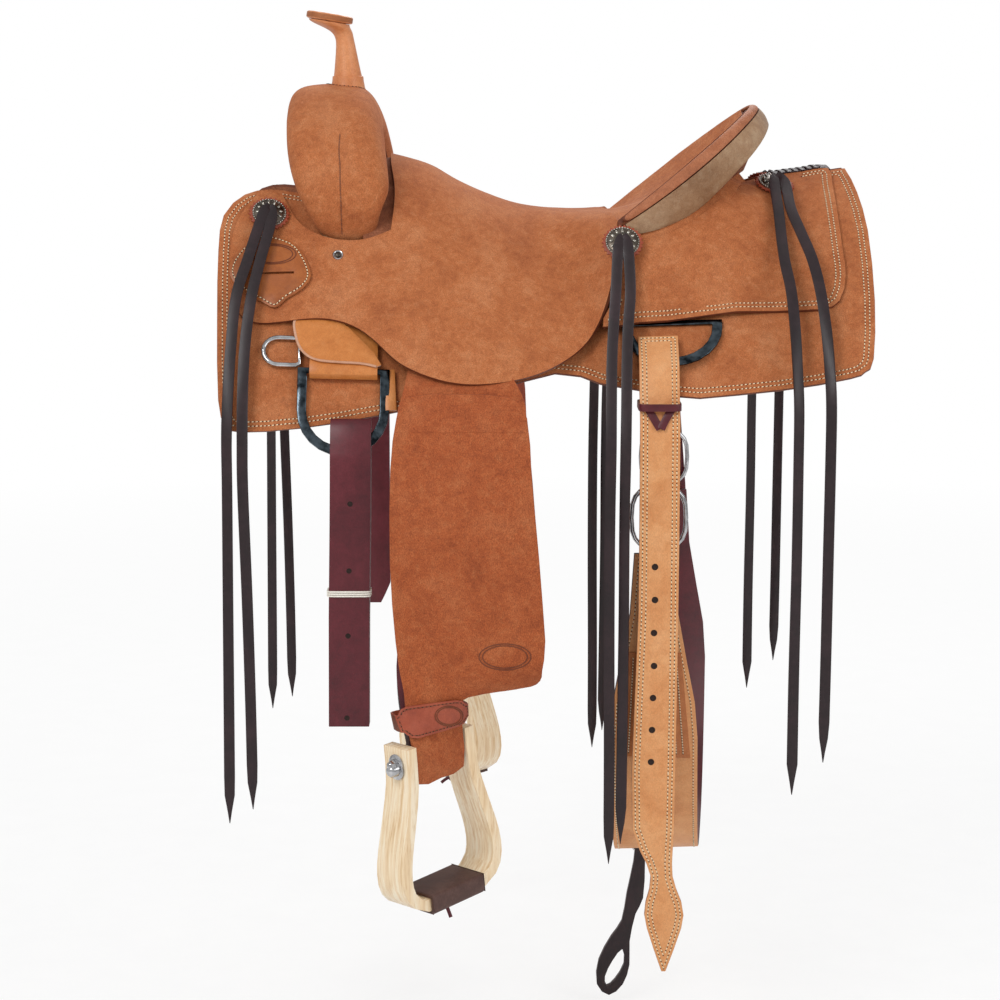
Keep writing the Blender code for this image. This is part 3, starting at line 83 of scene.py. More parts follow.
BODY_OF = {node: body for body, nodes in BODIES.items() for node in nodes}
print("box of the solids", [[round(v, 3) for v in corner] for corner in CAD_BOX])

# %% [markdown]
# ## Camera
# The saddle was photographed from its near side with a long lens, a little above the skirts and
# looking slightly down. A long lens keeps the two sides nearly the same size.

# %% Camera
FOCAL_PIXELS = 2540
DOWN_PIXELS = 400
PICTURE = 1000
SENSOR = 36.0
EYE = Vector((-0.0512, -3.0, 0.16))
DOWN = math.atan2(DOWN_PIXELS, FOCAL_PIXELS)
lens = bpy.data.cameras.new("studio_camera")
lens.sensor_width = SENSOR
lens.lens = FOCAL_PIXELS / PICTURE * SENSOR
camera = bpy.data.objects.new("studio_camera", lens)
camera.location = EYE
camera.rotation_euler = (math.pi / 2 - DOWN, 0, 0)
bpy.context.scene.collection.objects.link(camera)
bpy.context.scene.camera = camera
bpy.context.scene.view_settings.view_transform = "Standard"
print("lens", round(lens.lens, 2), "mm")


# %% [markdown]
# ## Colours and shader nodes
# Colours are written as sRGB hex values, as a paint chart gives them, and turned to the linear
# values that a shader wants. One function adds a shader node with its settings and its links.

# %% Colour and node helpers
MIX_RESULT = 2


def linear(hex_value):
    """An sRGB hex colour as linear red, green, blue and alpha."""
    made = []
    for start in (1, 3, 5):
        part = int(hex_value[start:start + 2], 16) / 255
        made.append(part / 12.92 if part <= 0.04045 else ((part + 0.055) / 1.055) ** 2.4)
    return (*made, 1.0)


def add(tree, kind, settings=None, inputs=None):
    """Adds a shader node. An input is a plain value, or a (node, output) pair to link from."""
    node = tree.nodes.new(kind)
    for name, value in (settings or {}).items():
        setattr(node, name, value)
    for name, value in (inputs or {}).items():
        if isinstance(value, tuple) and len(value) == 2:
            tree.links.new(value[0].outputs[value[1]], node.inputs[name])
        else:
            node.inputs[name].default_value = value
    return node


def noise(tree, place, size, detail=3.0, rough=0.55, distortion=0.0):
    """Cloud noise with lumps about size metres across."""
    return add(tree, "ShaderNodeTexNoise", None,
               {"Vector": place, "Scale": 1 / size, "Detail": detail, "Roughness": rough,
                "Distortion": distortion})


def ramp(tree, source, stops):
    """A colour ramp, whose stops are (position, hex colour)."""
    node = add(tree, "ShaderNodeValToRGB", None, {"Fac": source})
    bar = node.color_ramp
    while len(bar.elements) < len(stops):
        bar.elements.new(0.5)
    for element, (position, colour) in zip(bar.elements, stops):
        element.position = position
        element.color = linear(colour)
    return node


def mix(tree, blend, factor, first, second):
    """Second over first, blended as named. Factor is a number or a pair to link from."""
    return add(tree, "ShaderNodeMix", {"data_type": "RGBA", "blend_type": blend},
               {0: factor, 6: first, 7: second})


def start_material(name):
    """A material with its shader and the object's own coordinates in metres."""
    made = bpy.data.materials.new(name)
    made.use_nodes = True
    tree = made.node_tree
    place = (add(tree, "ShaderNodeTexCoord"), "Object")
    return made, tree, tree.nodes["Principled BSDF"], place


def finish_surface(tree, shader, colour, height, depth, strength=1.0):
    """Links the colour and a bump map, whose full height is depth metres."""
    tree.links.new(colour[0].outputs[colour[1]], shader.inputs["Base Color"])
    bump = add(tree, "ShaderNodeBump", None, {"Height": height, "Distance": depth, "Strength": strength})
    tree.links.new(bump.outputs["Normal"], shader.inputs["Normal"])


# %% [markdown]
# ## Leather
# All the leather of this saddle is vegetable-tanned cowhide. Roughout is the flesh side turned
# outwards: short fibres stand up, so it is matt, blotchy and scuffed, with a soft sheen where the
# nap catches light. The harness leather is the smooth grain side, oiled, with fine pores. One
# function makes them all from three tones, because the same clouds, fibres, pores and scuffs
# show on each in different measure.

# %% Leather function
def leather(name, deep, middle, light, nap, roughness, sheen=0.0, coat=0.0, scuffs=0.25, pull=1.0):
    """Cowhide. Nap is how much its fibres show, from 0, smooth grain, to 1, roughout."""
    made, tree, shader, place = start_material(name)
    blotch = noise(tree, place, 55 * MM, 5.0, 0.62, 0.4)
    tone = ramp(tree, (blotch, "Fac"), ((0.22, deep), (0.50, middle), (0.80, light)))
    cloud = noise(tree, place, 9 * MM, 4.0, 0.65, 0.6)
    patch = ramp(tree, (cloud, "Fac"), ((0.26, deep), (0.50, middle), (0.76, light)))
    body = mix(tree, "MIX", 0.30 + 0.15 * nap, (tone, "Color"), (patch, "Color"))
    # The fibres are drawn 0.9 mm apart, three times their real size, so that they show
    fibre_place = add(tree, "ShaderNodeMapping", None, {"Vector": place, "Scale": (1.0, 1.0, 0.55 * pull)})
    fibre = noise(tree, (fibre_place, "Vector"), 0.9 * MM, 3.0, 0.7, 0.8)
    speck = ramp(tree, (fibre, "Fac"), ((0.36, "#a8a09a"), (0.62, "#ffffff")))
    body = mix(tree, "MULTIPLY", 0.25 + 0.55 * nap, (body, MIX_RESULT), (speck, "Color"))
    # Scuffs are short strokes that lie at random across the hide
    stroke_place = add(tree, "ShaderNodeMapping", None,
                       {"Vector": place, "Rotation": (0.5, 0.9, 0.4), "Scale": (0.25, 1.0, 1.0)})
    stroke = noise(tree, (stroke_place, "Vector"), 5 * MM, 6.0, 0.75, 1.2)
    mark = ramp(tree, (stroke, "Fac"), ((0.58, "#000000"), (0.66, "#ffffff")))
    dark_marks = add(tree, "ShaderNodeMath", {"operation": "MULTIPLY"}, {0: (mark, "Color"), 1: scuffs})
    body = mix(tree, "MIX", (dark_marks, "Value"), (body, MIX_RESULT), linear(deep))
    rubbed = noise(tree, place, 30 * MM, 6.0, 0.8)
    worn = ramp(tree, (rubbed, "Fac"), ((0.60, "#000000"), (0.72, "#ffffff")))
    light_marks = add(tree, "ShaderNodeMath", {"operation": "MULTIPLY"}, {0: (worn, "Color"), 1: 0.35})
    body = mix(tree, "MIX", (light_marks, "Value"), (body, MIX_RESULT), linear(light))
    # Pores of the grain side are drawn 1.4 mm apart, twice their real spacing
    pores = add(tree, "ShaderNodeTexVoronoi", {"feature": "DISTANCE_TO_EDGE"},
                {"Vector": place, "Scale": 1 / (1.4 * MM)})
    grain = add(tree, "ShaderNodeMath", {"operation": "MULTIPLY"},
                {0: (pores, "Distance"), 1: 0.6 * (1 - nap)})
    height = add(tree, "ShaderNodeMath", {"operation": "MULTIPLY_ADD"},
                 {0: (fibre, "Fac"), 1: 0.25 + nap, 2: (grain, "Value")})
    height = add(tree, "ShaderNodeMath", {"operation": "ADD"}, {0: (height, "Value"), 1: (cloud, "Fac")})
    spread = add(tree, "ShaderNodeMapRange", None,
                 {"Value": (cloud, "Fac"), "To Min": roughness - 0.10,
                  "To Max": min(roughness + 0.12, 1.0)})
    tree.links.new(spread.outputs["Result"], shader.inputs["Roughness"])
    shader.inputs["Sheen Weight"].default_value = sheen
    shader.inputs["Sheen Roughness"].default_value = 0.45
    shader.inputs["Sheen Tint"].default_value = linear(light)
    shader.inputs["Coat Weight"].default_value = coat
    shader.inputs["Coat Roughness"].default_value = 0.30
    shader.inputs["Specular IOR Level"].default_value = 0.35
    finish_surface(tree, shader, (body, MIX_RESULT), (height, "Value"), 0.5 * MM, 0.35 + 0.35 * nap)
    return made


# %% Leather finishes
ROUGHOUT = leather("roughout_cowhide", "#984e28", "#c47443", "#dc9869", 0.85, 0.84, sheen=0.12)
FENDER_HIDE = leather("roughout_fender_cowhide", "#8a3f20", "#b85f33", "#cd8052", 1.0, 0.86, sheen=0.10)
# A darker copy of the roughout: on the backs of skirts, jockeys and seat, on the tree and on the welt in the
# gaps under the seat it is painted shade; on the fork seam it is the dark joint.
ROUGHOUT_SHADE_AND_SEAM = leather("roughout_cowhide_dark", "#74402a", "#9d5f40", "#bb8062", 1.0, 0.88, sheen=0.12)
KEEPER_HIDE = leather("tooled_keeper_cowhide", "#7e3f17", "#a85b25", "#c07434", 0.15, 0.36, coat=0.22)
ROLL_HIDE = leather("cantle_roll_cowhide", "#8a4e2f", "#b46e49", "#cc8c69", 0.55, 0.62, sheen=0.08)
RIGGING_HIDE = leather("rigging_cowhide", "#ad5f27", "#d0803e", "#e39d5e",
                       0.12, 0.40, coat=0.18, scuffs=0.15)
PALE_EDGE = leather("raw_cut_edge", "#b9805f", "#d6a283", "#eac3aa", 0.4, 0.6, scuffs=0.1, pull=4.0)
RUSSET = leather("oiled_russet_cowhide", "#b5673a", "#d88a56", "#eaa877", 0.12, 0.44, coat=0.12, scuffs=0.12)
GOLDEN = leather("golden_harness_cowhide", "#c5783f", "#df9c64", "#edb582",
                 0.15, 0.50, coat=0.08, scuffs=0.14)
RED_RUSSET = leather("red_russet_cowhide", "#7d3321", "#a24a30", "#b96045",
                     0.15, 0.46, coat=0.10, scuffs=0.15)
BURGUNDY = leather("burgundy_latigo", "#3a0d15", "#5b1822", "#6f2530", 0.10, 0.42, coat=0.15, scuffs=0.10)
DARK = leather("dark_oiled_latigo", "#12080a", "#241418", "#3c262b", 0.15, 0.42, coat=0.16, scuffs=0.12)
PATCH_HIDE = leather("cinch_patch_cowhide", "#a35a2c", "#c47640", "#d8935c",
                     0.15, 0.45, coat=0.1, scuffs=0.15)
TREAD = leather("dark_brown_tread_leather", "#3d2823", "#5a403a", "#7a5d54", 0.35, 0.55, scuffs=0.3)
RAWHIDE = leather("tanned_rawhide_band", "#7d5638", "#a98462", "#cdb494",
                  0.30, 0.48, coat=0.10, scuffs=0.35)
BROWN_EDGE = leather("burnished_leather_edge", "#4c2517", "#73391f", "#8f5030",
                     0.30, 0.55, scuffs=0.2, pull=4.0)
GOLD_EDGE = leather("burnished_golden_edge", "#7c4423", "#a8653a", "#c08050",
                    0.30, 0.52, scuffs=0.2, pull=4.0)
DARK_EDGE = leather("burnished_dark_edge", "#1c0c0d", "#30161a", "#451f24", 0.2, 0.5, scuffs=0.1, pull=4.0)
print("leathers", len([m for m in bpy.data.materials if "leather" in m.name or "hide" in m.name]))


# %% [markdown]
# ## Metal, wood, thread and wool
# The rings are stainless steel, tumbled and slightly blued, so they are darker than chrome. The
# conchos are engraved nickel silver with dark wax in the cuts. The stirrups are steam-bent ash,
# lacquered. Thread is waxed white nylon, and the lining is sheepskin with its wool on.

# %% Metal
def metal(name, deep, light, roughness, scratch=0.3):
    """Plain metal, with a little tarnish in clouds and fine scratches."""
    made, tree, shader, place = start_material(name)
    cloud = noise(tree, place, 12 * MM, 4.0, 0.6)
    tone = ramp(tree, (cloud, "Fac"), ((0.35, deep), (0.65, light)))
    long_place = add(tree, "ShaderNodeMapping", None, {"Vector": place, "Scale": (1.0, 0.15, 1.0)})
    lines = noise(tree, (long_place, "Vector"), 0.8 * MM, 2.0, 0.7)
    spread = add(tree, "ShaderNodeMapRange", None,
                 {"Value": (lines, "Fac"), "To Min": roughness * 0.75, "To Max": roughness * 1.3})
    tree.links.new(spread.outputs["Result"], shader.inputs["Roughness"])
    shader.inputs["Metallic"].default_value = 1.0
    finish_surface(tree, shader, (tone, "Color"), (lines, "Fac"), 0.05 * MM, scratch)
    return made


BLUED_STEEL = metal("blued_stainless_steel", "#191e22", "#59646c", 0.16)
BRIGHT_STEEL = metal("polished_stainless_steel", "#9a9a9c", "#d2d2d4", 0.16)
NICKEL_SILVER = metal("engraved_nickel_silver", "#8f8a80", "#cfcac0", 0.22)
NICKEL_DARK = metal("tarnished_nickel_silver", "#3f3832", "#7c7268", 0.35)


# %% Wood, thread, wool, painted shade of holes
def ash_wood():
    """Steam-bent ash: open-pored growth lines 2 to 4 mm apart that run along the bend."""
    made, tree, shader, _ = start_material("lacquered_ash")
    grain = add(tree, "ShaderNodeAttribute", {"attribute_name": "grain"})
    stretch = add(tree, "ShaderNodeMapping", None,
                  {"Vector": (grain, "Vector"), "Scale": (1.0, 0.30, 0.03)})
    rings = noise(tree, (stretch, "Vector"), 3.2 * MM, 3.0, 0.55, 0.5)
    tone = ramp(tree, (rings, "Fac"), ((0.30, "#dcb88a"), (0.46, "#efd5ae"), (0.62, "#f8e8cc")))
    fine = noise(tree, (stretch, "Vector"), 0.9 * MM, 3.0, 0.7)
    pore = ramp(tree, (fine, "Fac"), ((0.32, "#d9bd98"), (0.46, "#ffffff")))
    body = mix(tree, "MULTIPLY", 0.5, (tone, "Color"), (pore, "Color"))
    shader.inputs["Roughness"].default_value = 0.38
    shader.inputs["Coat Weight"].default_value = 0.25
    shader.inputs["Coat Roughness"].default_value = 0.2
    finish_surface(tree, shader, (body, MIX_RESULT), (fine, "Fac"), 0.15 * MM, 0.4)
    return made


def sheepskin():
    """Wool lining: cream curls about 9 mm across, darker between them."""
    made, tree, shader, place = start_material("sheepskin_wool")
    curls = add(tree, "ShaderNodeTexVoronoi", {"feature": "SMOOTH_F1"},
                {"Vector": place, "Scale": 1 / (9 * MM), "Smoothness": 0.6})
    tone = ramp(tree, (curls, "Distance"), ((0.05, "#fbf5e6"), (0.45, "#f2e7cd"), (0.8, "#d3bf98")))
    strands = noise(tree, place, 1.2 * MM, 4.0, 0.75, 2.0)
    lock = ramp(tree, (strands, "Fac"), ((0.35, "#e2d7c0"), (0.62, "#ffffff")))
    body = mix(tree, "MULTIPLY", 0.6, (tone, "Color"), (lock, "Color"))
    shader.inputs["Roughness"].default_value = 0.95
    shader.inputs["Sheen Weight"].default_value = 0.35
    shader.inputs["Sheen Roughness"].default_value = 0.6
    finish_surface(tree, shader, (body, MIX_RESULT), (strands, "Fac"), 1.2 * MM, 0.8)
    return made


def plain_fibre(name, deep, light, size, roughness):
    """Waxed thread, or the dark inside of a hole as painted shade, mottled at a small scale."""
    made, tree, shader, place = start_material(name)
    twist = noise(tree, place, size, 2.0, 0.6)
    tone = ramp(tree, (twist, "Fac"), ((0.35, deep), (0.65, light)))
    shader.inputs["Roughness"].default_value = roughness
    finish_surface(tree, shader, (tone, "Color"), (twist, "Fac"), 0.2 * MM, 0.5)
    return made


ASH = ash_wood()
WOOL = sheepskin()
THREAD = plain_fibre("waxed_white_thread", "#e2cfa6", "#faedcd", 0.5 * MM, 0.55)
DARK_THREAD = plain_fibre("waxed_brown_thread", "#5a3421", "#7d4c30", 0.5 * MM, 0.6)
DARK_LACE = plain_fibre("dark_lace", "#2c1410", "#4d261c", 0.8 * MM, 0.6)
# A hole is not cut; a small dark bead or disc stands for it, its colour painted shade.
HOLE_SHADE = plain_fibre("punched_hole_painted_shade", "#1b0f0b", "#2d1a12", 1.5 * MM, 0.9)
print("materials", len(bpy.data.materials))


# %% [markdown]
# ## Taking a piece out of the frame
# The frame's meshes are loose triangles and are left alone. A copy of one is welded at its
# corners, and its faces are sorted into skins and edges: a leather sheet has two broad skins with
# a narrow edge strip between them, and a fold of more than 50 degrees parts them. The skins then
# take one finish and the cut edge another, and the outer skin's rim guides the sewing.

# %% Weld and sort
SHARP = math.radians(50)
FINISHED = {}


def pick(*objects):
    """Selects these objects alone."""
    bpy.ops.object.select_all(action="DESELECT")
    for one in objects:
        one.select_set(True)
    bpy.context.view_layer.objects.active = objects[0]


def welded(node, name):
    """A copy of a node's mesh with its triangles welded at their corners."""
    made = bpy.data.objects.new(name, frame["nodes"][node].data.copy())
    made.data.materials.clear()
    bpy.context.scene.collection.objects.link(made)
    pick(made)
    bpy.ops.mesh.customdata_custom_splitnormals_clear()
    bpy.ops.object.mode_set(mode="EDIT")
    bpy.ops.mesh.select_all(action="SELECT")
    bpy.ops.mesh.remove_doubles(threshold=0.01 * MM)
    bpy.ops.mesh.normals_make_consistent(inside=False)
    bpy.ops.object.mode_set(mode="OBJECT")
    return made


def skins(piece):
    """The faces in groups parted by sharp folds, the broadest group first."""
    bm = bmesh.new()
    bm.from_mesh(piece.data)
    bm.faces.ensure_lookup_table()
    seen = set()
    groups = []
    for first in bm.faces:
        if first.index in seen:
            continue
        seen.add(first.index)
        group = [first]
        for face in group:
            for edge in face.edges:
                if len(edge.link_faces) != 2 or edge.calc_face_angle(0) > SHARP:
                    continue
                for other in edge.link_faces:
                    if other.index not in seen:
                        seen.add(other.index)
                        group.append(other)
        normal = sum((f.normal * f.calc_area() for f in group), Vector())
        groups.append((sum(f.calc_area() for f in group), normal.normalized(), [f.index for f in group]))
    bm.free()
    return sorted(groups, key=lambda g: -g[0])


def rim_of(piece, faces):
    """The outline of a group of faces as closed loops of points, each with the faces' normal."""
    chosen = set(faces)
    mesh = piece.data
    count = {}
    for index in chosen:
        polygon = mesh.polygons[index]
        corners = list(polygon.vertices)
        for a, b in zip(corners, corners[1:] + corners[:1]):
            count.setdefault(frozenset((a, b)), []).append((a, b, index))
    onward = {uses[0][0]: (uses[0][1], uses[0][2]) for uses in count.values() if len(uses) == 1}
    loops = []
    while onward:
        here = next(iter(onward))
        loop = []
        while here in onward:
            there, index = onward.pop(here)
            loop.append((mesh.vertices[here].co.copy(), mesh.polygons[index].normal.copy()))
            here = there
        loops.append(loop)
    return loops


def surface_of(piece):
    """A tree of the piece's faces, for finding the point of it nearest to another or hit by a ray."""
    mesh = piece.data
    return BVHTree.FromPolygons([v.co.copy() for v in mesh.vertices],
                                [tuple(p.vertices) for p in mesh.polygons])


def stand_for(piece, node):
    """The piece rides with its node's body and hides the node."""
    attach(piece, BODY_OF[node])
    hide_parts(node)


def give(piece, *materials):
    """Adds materials to the piece, in the order of its faces' material numbers."""
    for one in materials:
        piece.data.materials.append(one)


def apply(piece, kind, **settings):
    """Adds a modifier, sets it and applies it."""
    modifier = piece.modifiers.new(kind.lower(), kind)
    for name, value in settings.items():
        setattr(modifier, name, value)
    pick(piece)
    bpy.ops.object.modifier_apply(modifier=modifier.name)


def smooth(piece, degrees=40):
    """Shades the piece smoothly, with a crease where it folds by more than this."""
    pick(piece)
    bpy.ops.object.shade_smooth_by_angle(angle=math.radians(degrees))


def mesh_piece(name, points, faces, *finishes):
    """A new piece made of points and faces, in world coordinates."""
    mesh = bpy.data.meshes.new(name)
    mesh.from_pydata([tuple(p) for p in points], [], faces)
    mesh.update()
    made = bpy.data.objects.new(name, mesh)
    bpy.context.scene.collection.objects.link(made)
    give(made, *finishes)
    return made


def face_out(piece, triangles=False):
    """Turns every face outwards, and cuts the faces into triangles where they may not be flat."""
    pick(piece)
    bpy.ops.object.mode_set(mode="EDIT")
    bpy.ops.mesh.select_all(action="SELECT")
    bpy.ops.mesh.normals_make_consistent(inside=False)
    if triangles:
        bpy.ops.mesh.quads_convert_to_tris()
    bpy.ops.object.mode_set(mode="OBJECT")


def grid_faces(wide, rows):
    """The quads between points that lie in rows, with this many points to a row."""
    return [(r * wide + k, r * wide + k + 1, (r + 1) * wide + k + 1, (r + 1) * wide + k)
            for r in range(rows - 1) for k in range(wide - 1)]


# %% [markdown]
# ## A finished leather sheet
# Each strap and shell is a welded copy whose cut edge has its own burnished finish, with the
# corner rounded over by 0.6 mm as an edge beveller leaves it. The outer rim is kept before the
# rounding, because stitches are set in from it.

# %% Leather sheets
CUT_EDGE_ROUND = 0.6 * MM


def sheet_piece(node, skin, edge, back=None, out=None):
    """Copies a leather sheet, finishes its skins and its edge, and lets it stand for its node."""
    piece = welded(node, f"{node}_leather")
    groups = skins(piece)
    side = out or Vector((0, -1 if "near" in node or node == "latigo" else 1, 0.2))
    broad = groups[:2]
    outer = max(broad, key=lambda g: g[1].dot(side))
    inner = [g for g in broad if g is not outer]
    give(piece, skin, edge, back or skin)
    for polygon in piece.data.polygons:
        polygon.material_index = 1
    for index in outer[2]:
        piece.data.polygons[index].material_index = 0
    for group in inner:
        for index in group[2]:
            piece.data.polygons[index].material_index = 2
    FINISHED[node] = {"piece": piece, "rim": rim_of(piece, outer[2]), "tree": surface_of(piece)}
    apply(piece, "BEVEL", width=CUT_EDGE_ROUND, segments=2, limit_method="ANGLE", angle_limit=SHARP,
          use_clamp_overlap=True)
    smooth(piece)
    stand_for(piece, node)


# Each kind of sheet has its outer skin, its cut edge and its back; the backs of skirt and rear jockey are
# the darker roughout, painted shade
SHEETS = {"skirt": (ROUGHOUT, BROWN_EDGE, ROUGHOUT_SHADE_AND_SEAM),
          "rear_jockey": (ROUGHOUT, BROWN_EDGE, ROUGHOUT_SHADE_AND_SEAM),
          "fender": (FENDER_HIDE, BROWN_EDGE, RED_RUSSET),
          "latigo_keeper": (KEEPER_HIDE, GOLD_EDGE, KEEPER_HIDE),
          "rigging_leather": (RIGGING_HIDE, RIGGING_HIDE, RIGGING_HIDE),
          "rear_billet": (GOLDEN, GOLD_EDGE, BURGUNDY),
          "hobble_strap": (RED_RUSSET, BROWN_EDGE, RED_RUSSET),
          "stirrup_leather_lower": (BURGUNDY, DARK_EDGE, BURGUNDY),
          "stirrup_leather_upper": (BURGUNDY, DARK_EDGE, BURGUNDY)}
for label, side in SIDES:
    for kind, finishes in SHEETS.items():
        sheet_piece(f"{kind}_{label}", *finishes)
sheet_piece("latigo", BURGUNDY, BURGUNDY)
sheet_piece("off_billet", BURGUNDY, BURGUNDY)
sheet_piece("connector_strap", DARK, DARK_EDGE, out=Vector((0, -1, 0)))
sheet_piece("flank_cinch", GOLDEN, DARK_EDGE, BURGUNDY, out=Vector((0, 0, -1)))
print("leather sheets", len(FINISHED))


# %% [markdown]
# ## Seat, fork cover and cantle
# The seat is a padded leather drawn down over the tree, with the two front jockeys in the same
# hide. These pieces curve both ways, so each copy is turned back to quads and subdivided, with
# its cut edges creased to stay crisp. A slow cloud then moves the surface by half a millimetre,
# because no hide lies dead flat over its padding.

# %% Subdivided skins
def smooth_skin(node, skin, edge, back=None, levels=2, out=None, swell=0.0, name=None, crease=1.0):
    """Copies a curved shell, subdivides it with its sharp folds kept, and finishes it."""
    piece = welded(node, name or f"{node}_leather")
    pick(piece)
    bpy.ops.object.mode_set(mode="EDIT")
    bpy.ops.mesh.select_all(action="SELECT")
    bpy.ops.mesh.tris_convert_to_quads(face_threshold=math.radians(40), shape_threshold=math.radians(60))
    bpy.ops.object.mode_set(mode="OBJECT")
    groups = skins(piece)
    broad = groups[:2] if len(groups) > 2 else groups[:1]
    outer = max(broad, key=lambda g: g[1].dot(out or Vector((0, 0, 1))))
    give(piece, skin, edge, back or skin)
    thin = {index for group in groups[2:] for index in group[2]}
    for polygon in piece.data.polygons:
        polygon.material_index = 1 if polygon.index in thin else 2
    for index in outer[2]:
        piece.data.polygons[index].material_index = 0
    bm = bmesh.new()
    bm.from_mesh(piece.data)
    layer = bm.edges.layers.float.get("crease_edge") or bm.edges.layers.float.new("crease_edge")
    for line in bm.edges:
        if len(line.link_faces) == 2 and line.calc_face_angle(0) > SHARP:
            line[layer] = crease
    bm.to_mesh(piece.data)
    bm.free()
    rim = rim_of(piece, outer[2])
    apply(piece, "SUBSURF", levels=levels, render_levels=levels)
    if swell:
        cloud = bpy.data.textures.new(f"{node}_cloud", "CLOUDS")
        cloud.noise_scale = 0.05
        apply(piece, "DISPLACE", texture=cloud, texture_coords="LOCAL", strength=swell, mid_level=0.5)
    FINISHED[node] = {"piece": piece, "rim": rim, "tree": surface_of(piece)}
    smooth(piece, 50)
    stand_for(piece, node)
    return piece


# The seat's back is the darker roughout, painted shade.
seat = smooth_skin("seat", ROUGHOUT, BROWN_EDGE, ROUGHOUT_SHADE_AND_SEAM, swell=1.0 * MM)
smooth_skin("swell_cover", ROUGHOUT, BROWN_EDGE, swell=0.8 * MM, out=Vector((-1, 0, 0.5)))
smooth_skin("cantle_roll", ROLL_HIDE, BROWN_EDGE, crease=0.2)
smooth_skin("cantle_binding", RAWHIDE, BROWN_EDGE)
# The tree's cantle and fork take the darker roughout, not their pale rawhide: painted shade where they show
# in gaps.
smooth_skin("tree_cantle", ROUGHOUT_SHADE_AND_SEAM, BROWN_EDGE, levels=1)
smooth_skin("tree_fork", ROUGHOUT_SHADE_AND_SEAM, BROWN_EDGE, levels=1)
smooth_skin("horn_wrap", RUSSET, GOLD_EDGE, crease=0.3)
smooth_skin("horn_cap", RUSSET, GOLD_EDGE, crease=0.6)
for label, side in SIDES:
    smooth_skin(f"tree_bar_{label}", RAWHIDE, RAWHIDE, levels=1, name=f"tree_bar_{label}_rawhide")
print("subdivided skins", sum(len(f["piece"].data.polygons) for f in FINISHED.values()), "faces in all")


# %% [markdown]
# ## Fleece
# A sheepskin lining is 13 mm deep and its wool stands in loose curls. The solid is remeshed at
# 3 mm and pressed inwards by a lumpy pattern, so its outline breaks up like wool and it never
# grows into the skirt above it.

# %% Sheepskin lining
FLEECE_VOXEL = 3.0 * MM
CURL = 9 * MM
WOOL_DEPTH = 5.0 * MM
for label, side in SIDES:
    fleece = welded(f"fleece_{label}", f"sheepskin_{label}")
    give(fleece, WOOL)
    apply(fleece, "REMESH", mode="VOXEL", voxel_size=FLEECE_VOXEL)
    curl = bpy.data.textures.new(f"curl_{label}", "CLOUDS")
    curl.noise_scale = CURL
    curl.noise_depth = 2
    apply(fleece, "DISPLACE", texture=curl, texture_coords="LOCAL", strength=WOOL_DEPTH, mid_level=1.0)
    smooth(fleece, 180)
    stand_for(fleece, f"fleece_{label}")
    print("sheepskin", label, len(fleece.data.polygons), "faces")


# %% [markdown]
# ## Rings, buckles, stirrups
# Steel keeps its shape from the frame. The rings are rounded at their corners and shaded
# smoothly; the stirrup's ash is rounded over by 1.5 mm, as the real one is sanded. The wood's
# grain runs round the bend, so its growth lines are laid out by three distances stored on the
# mesh: across the tread's width, out from the middle, and up the side.

# %% Hard pieces
CORNER = math.radians(35)


def hard_piece(node, finish, name, bevel, segments=2, degrees=50):
    """Copies a piece of steel or wood and rounds its corners."""
    piece = welded(node, name)
    give(piece, finish)
    if bevel:
        apply(piece, "BEVEL", width=bevel, segments=segments, limit_method="ANGLE",
              angle_limit=CORNER, use_clamp_overlap=True)
    smooth(piece, degrees)
    stand_for(piece, node)
    return piece


STIRRUP_YAW = math.radians(45)
TREAD_ROUND = 7 * MM
WOOD = {}
for label, side in SIDES:
    hard_piece(f"front_rigging_ring_{label}", BLUED_STEEL, f"front_rigging_dee_{label}", 0.8 * MM)
    hard_piece(f"rear_rigging_ring_{label}", BLUED_STEEL, f"rear_rigging_dee_{label}", 0.8 * MM)
    hard_piece(f"breast_dee_{label}", BRIGHT_STEEL, f"breast_collar_dee_{label}", 0, degrees=80)
    hard_piece(f"cinch_buckle_{label}", BRIGHT_STEEL, f"cinch_buckle_ring_{label}", 0, degrees=80)
    hard_piece(f"stirrup_bolt_{label}", BRIGHT_STEEL, f"stirrup_bolt_steel_{label}", 0.3 * MM)
    wood = hard_piece(f"stirrup_frame_{label}", ASH, f"stirrup_ash_{label}", 1.5 * MM, 3)
    WOOD[label] = surface_of(wood)
    grain = wood.data.attributes.new("grain", "FLOAT_VECTOR", "POINT")
    across = Vector((math.cos(STIRRUP_YAW), -side * math.sin(STIRRUP_YAW), 0))
    width = Vector((math.sin(STIRRUP_YAW), side * math.cos(STIRRUP_YAW), 0))
    flat = [c for v in wood.data.vertices for c in (v.co.dot(width), v.co.dot(across), v.co.z)]
    grain.data.foreach_set("vector", flat)
    tread = welded(f"stirrup_tread_{label}", f"stirrup_tread_leather_{label}")
    give(tread, TREAD)
    apply(tread, "BEVEL", width=TREAD_ROUND, segments=5, limit_method="ANGLE", angle_limit=CORNER)
    smooth(tread, 60)
    stand_for(tread, f"stirrup_tread_{label}")
print("steel, wood and treads done")


# %% [markdown]
# ## Sewing
# Saddle stitching is a row of slanting white stitches, 3.5 mm apart. One stitch is modelled
# once, as a small lens-shaped bead of thread, and set along a row by copying its points, with a
# dark bead after each whose colour is painted shade for its awl hole. A row runs at a fixed
# distance in from the cut edge: the rim is stepped inwards over the surface, and points that come
# out nearer to the rim than that are dropped, which keeps the row clean round corners.

# %% Rows of stitches
STITCH_PITCH = 3.5 * MM
STITCH_LENGTH = 2.5 * MM
STITCH_THICK = 1.35 * MM
HOLE_SCALE = np.array((0.55, 1.05, 0.62))
SLANT = 0.25
SHORTEST_RIM = 100 * MM


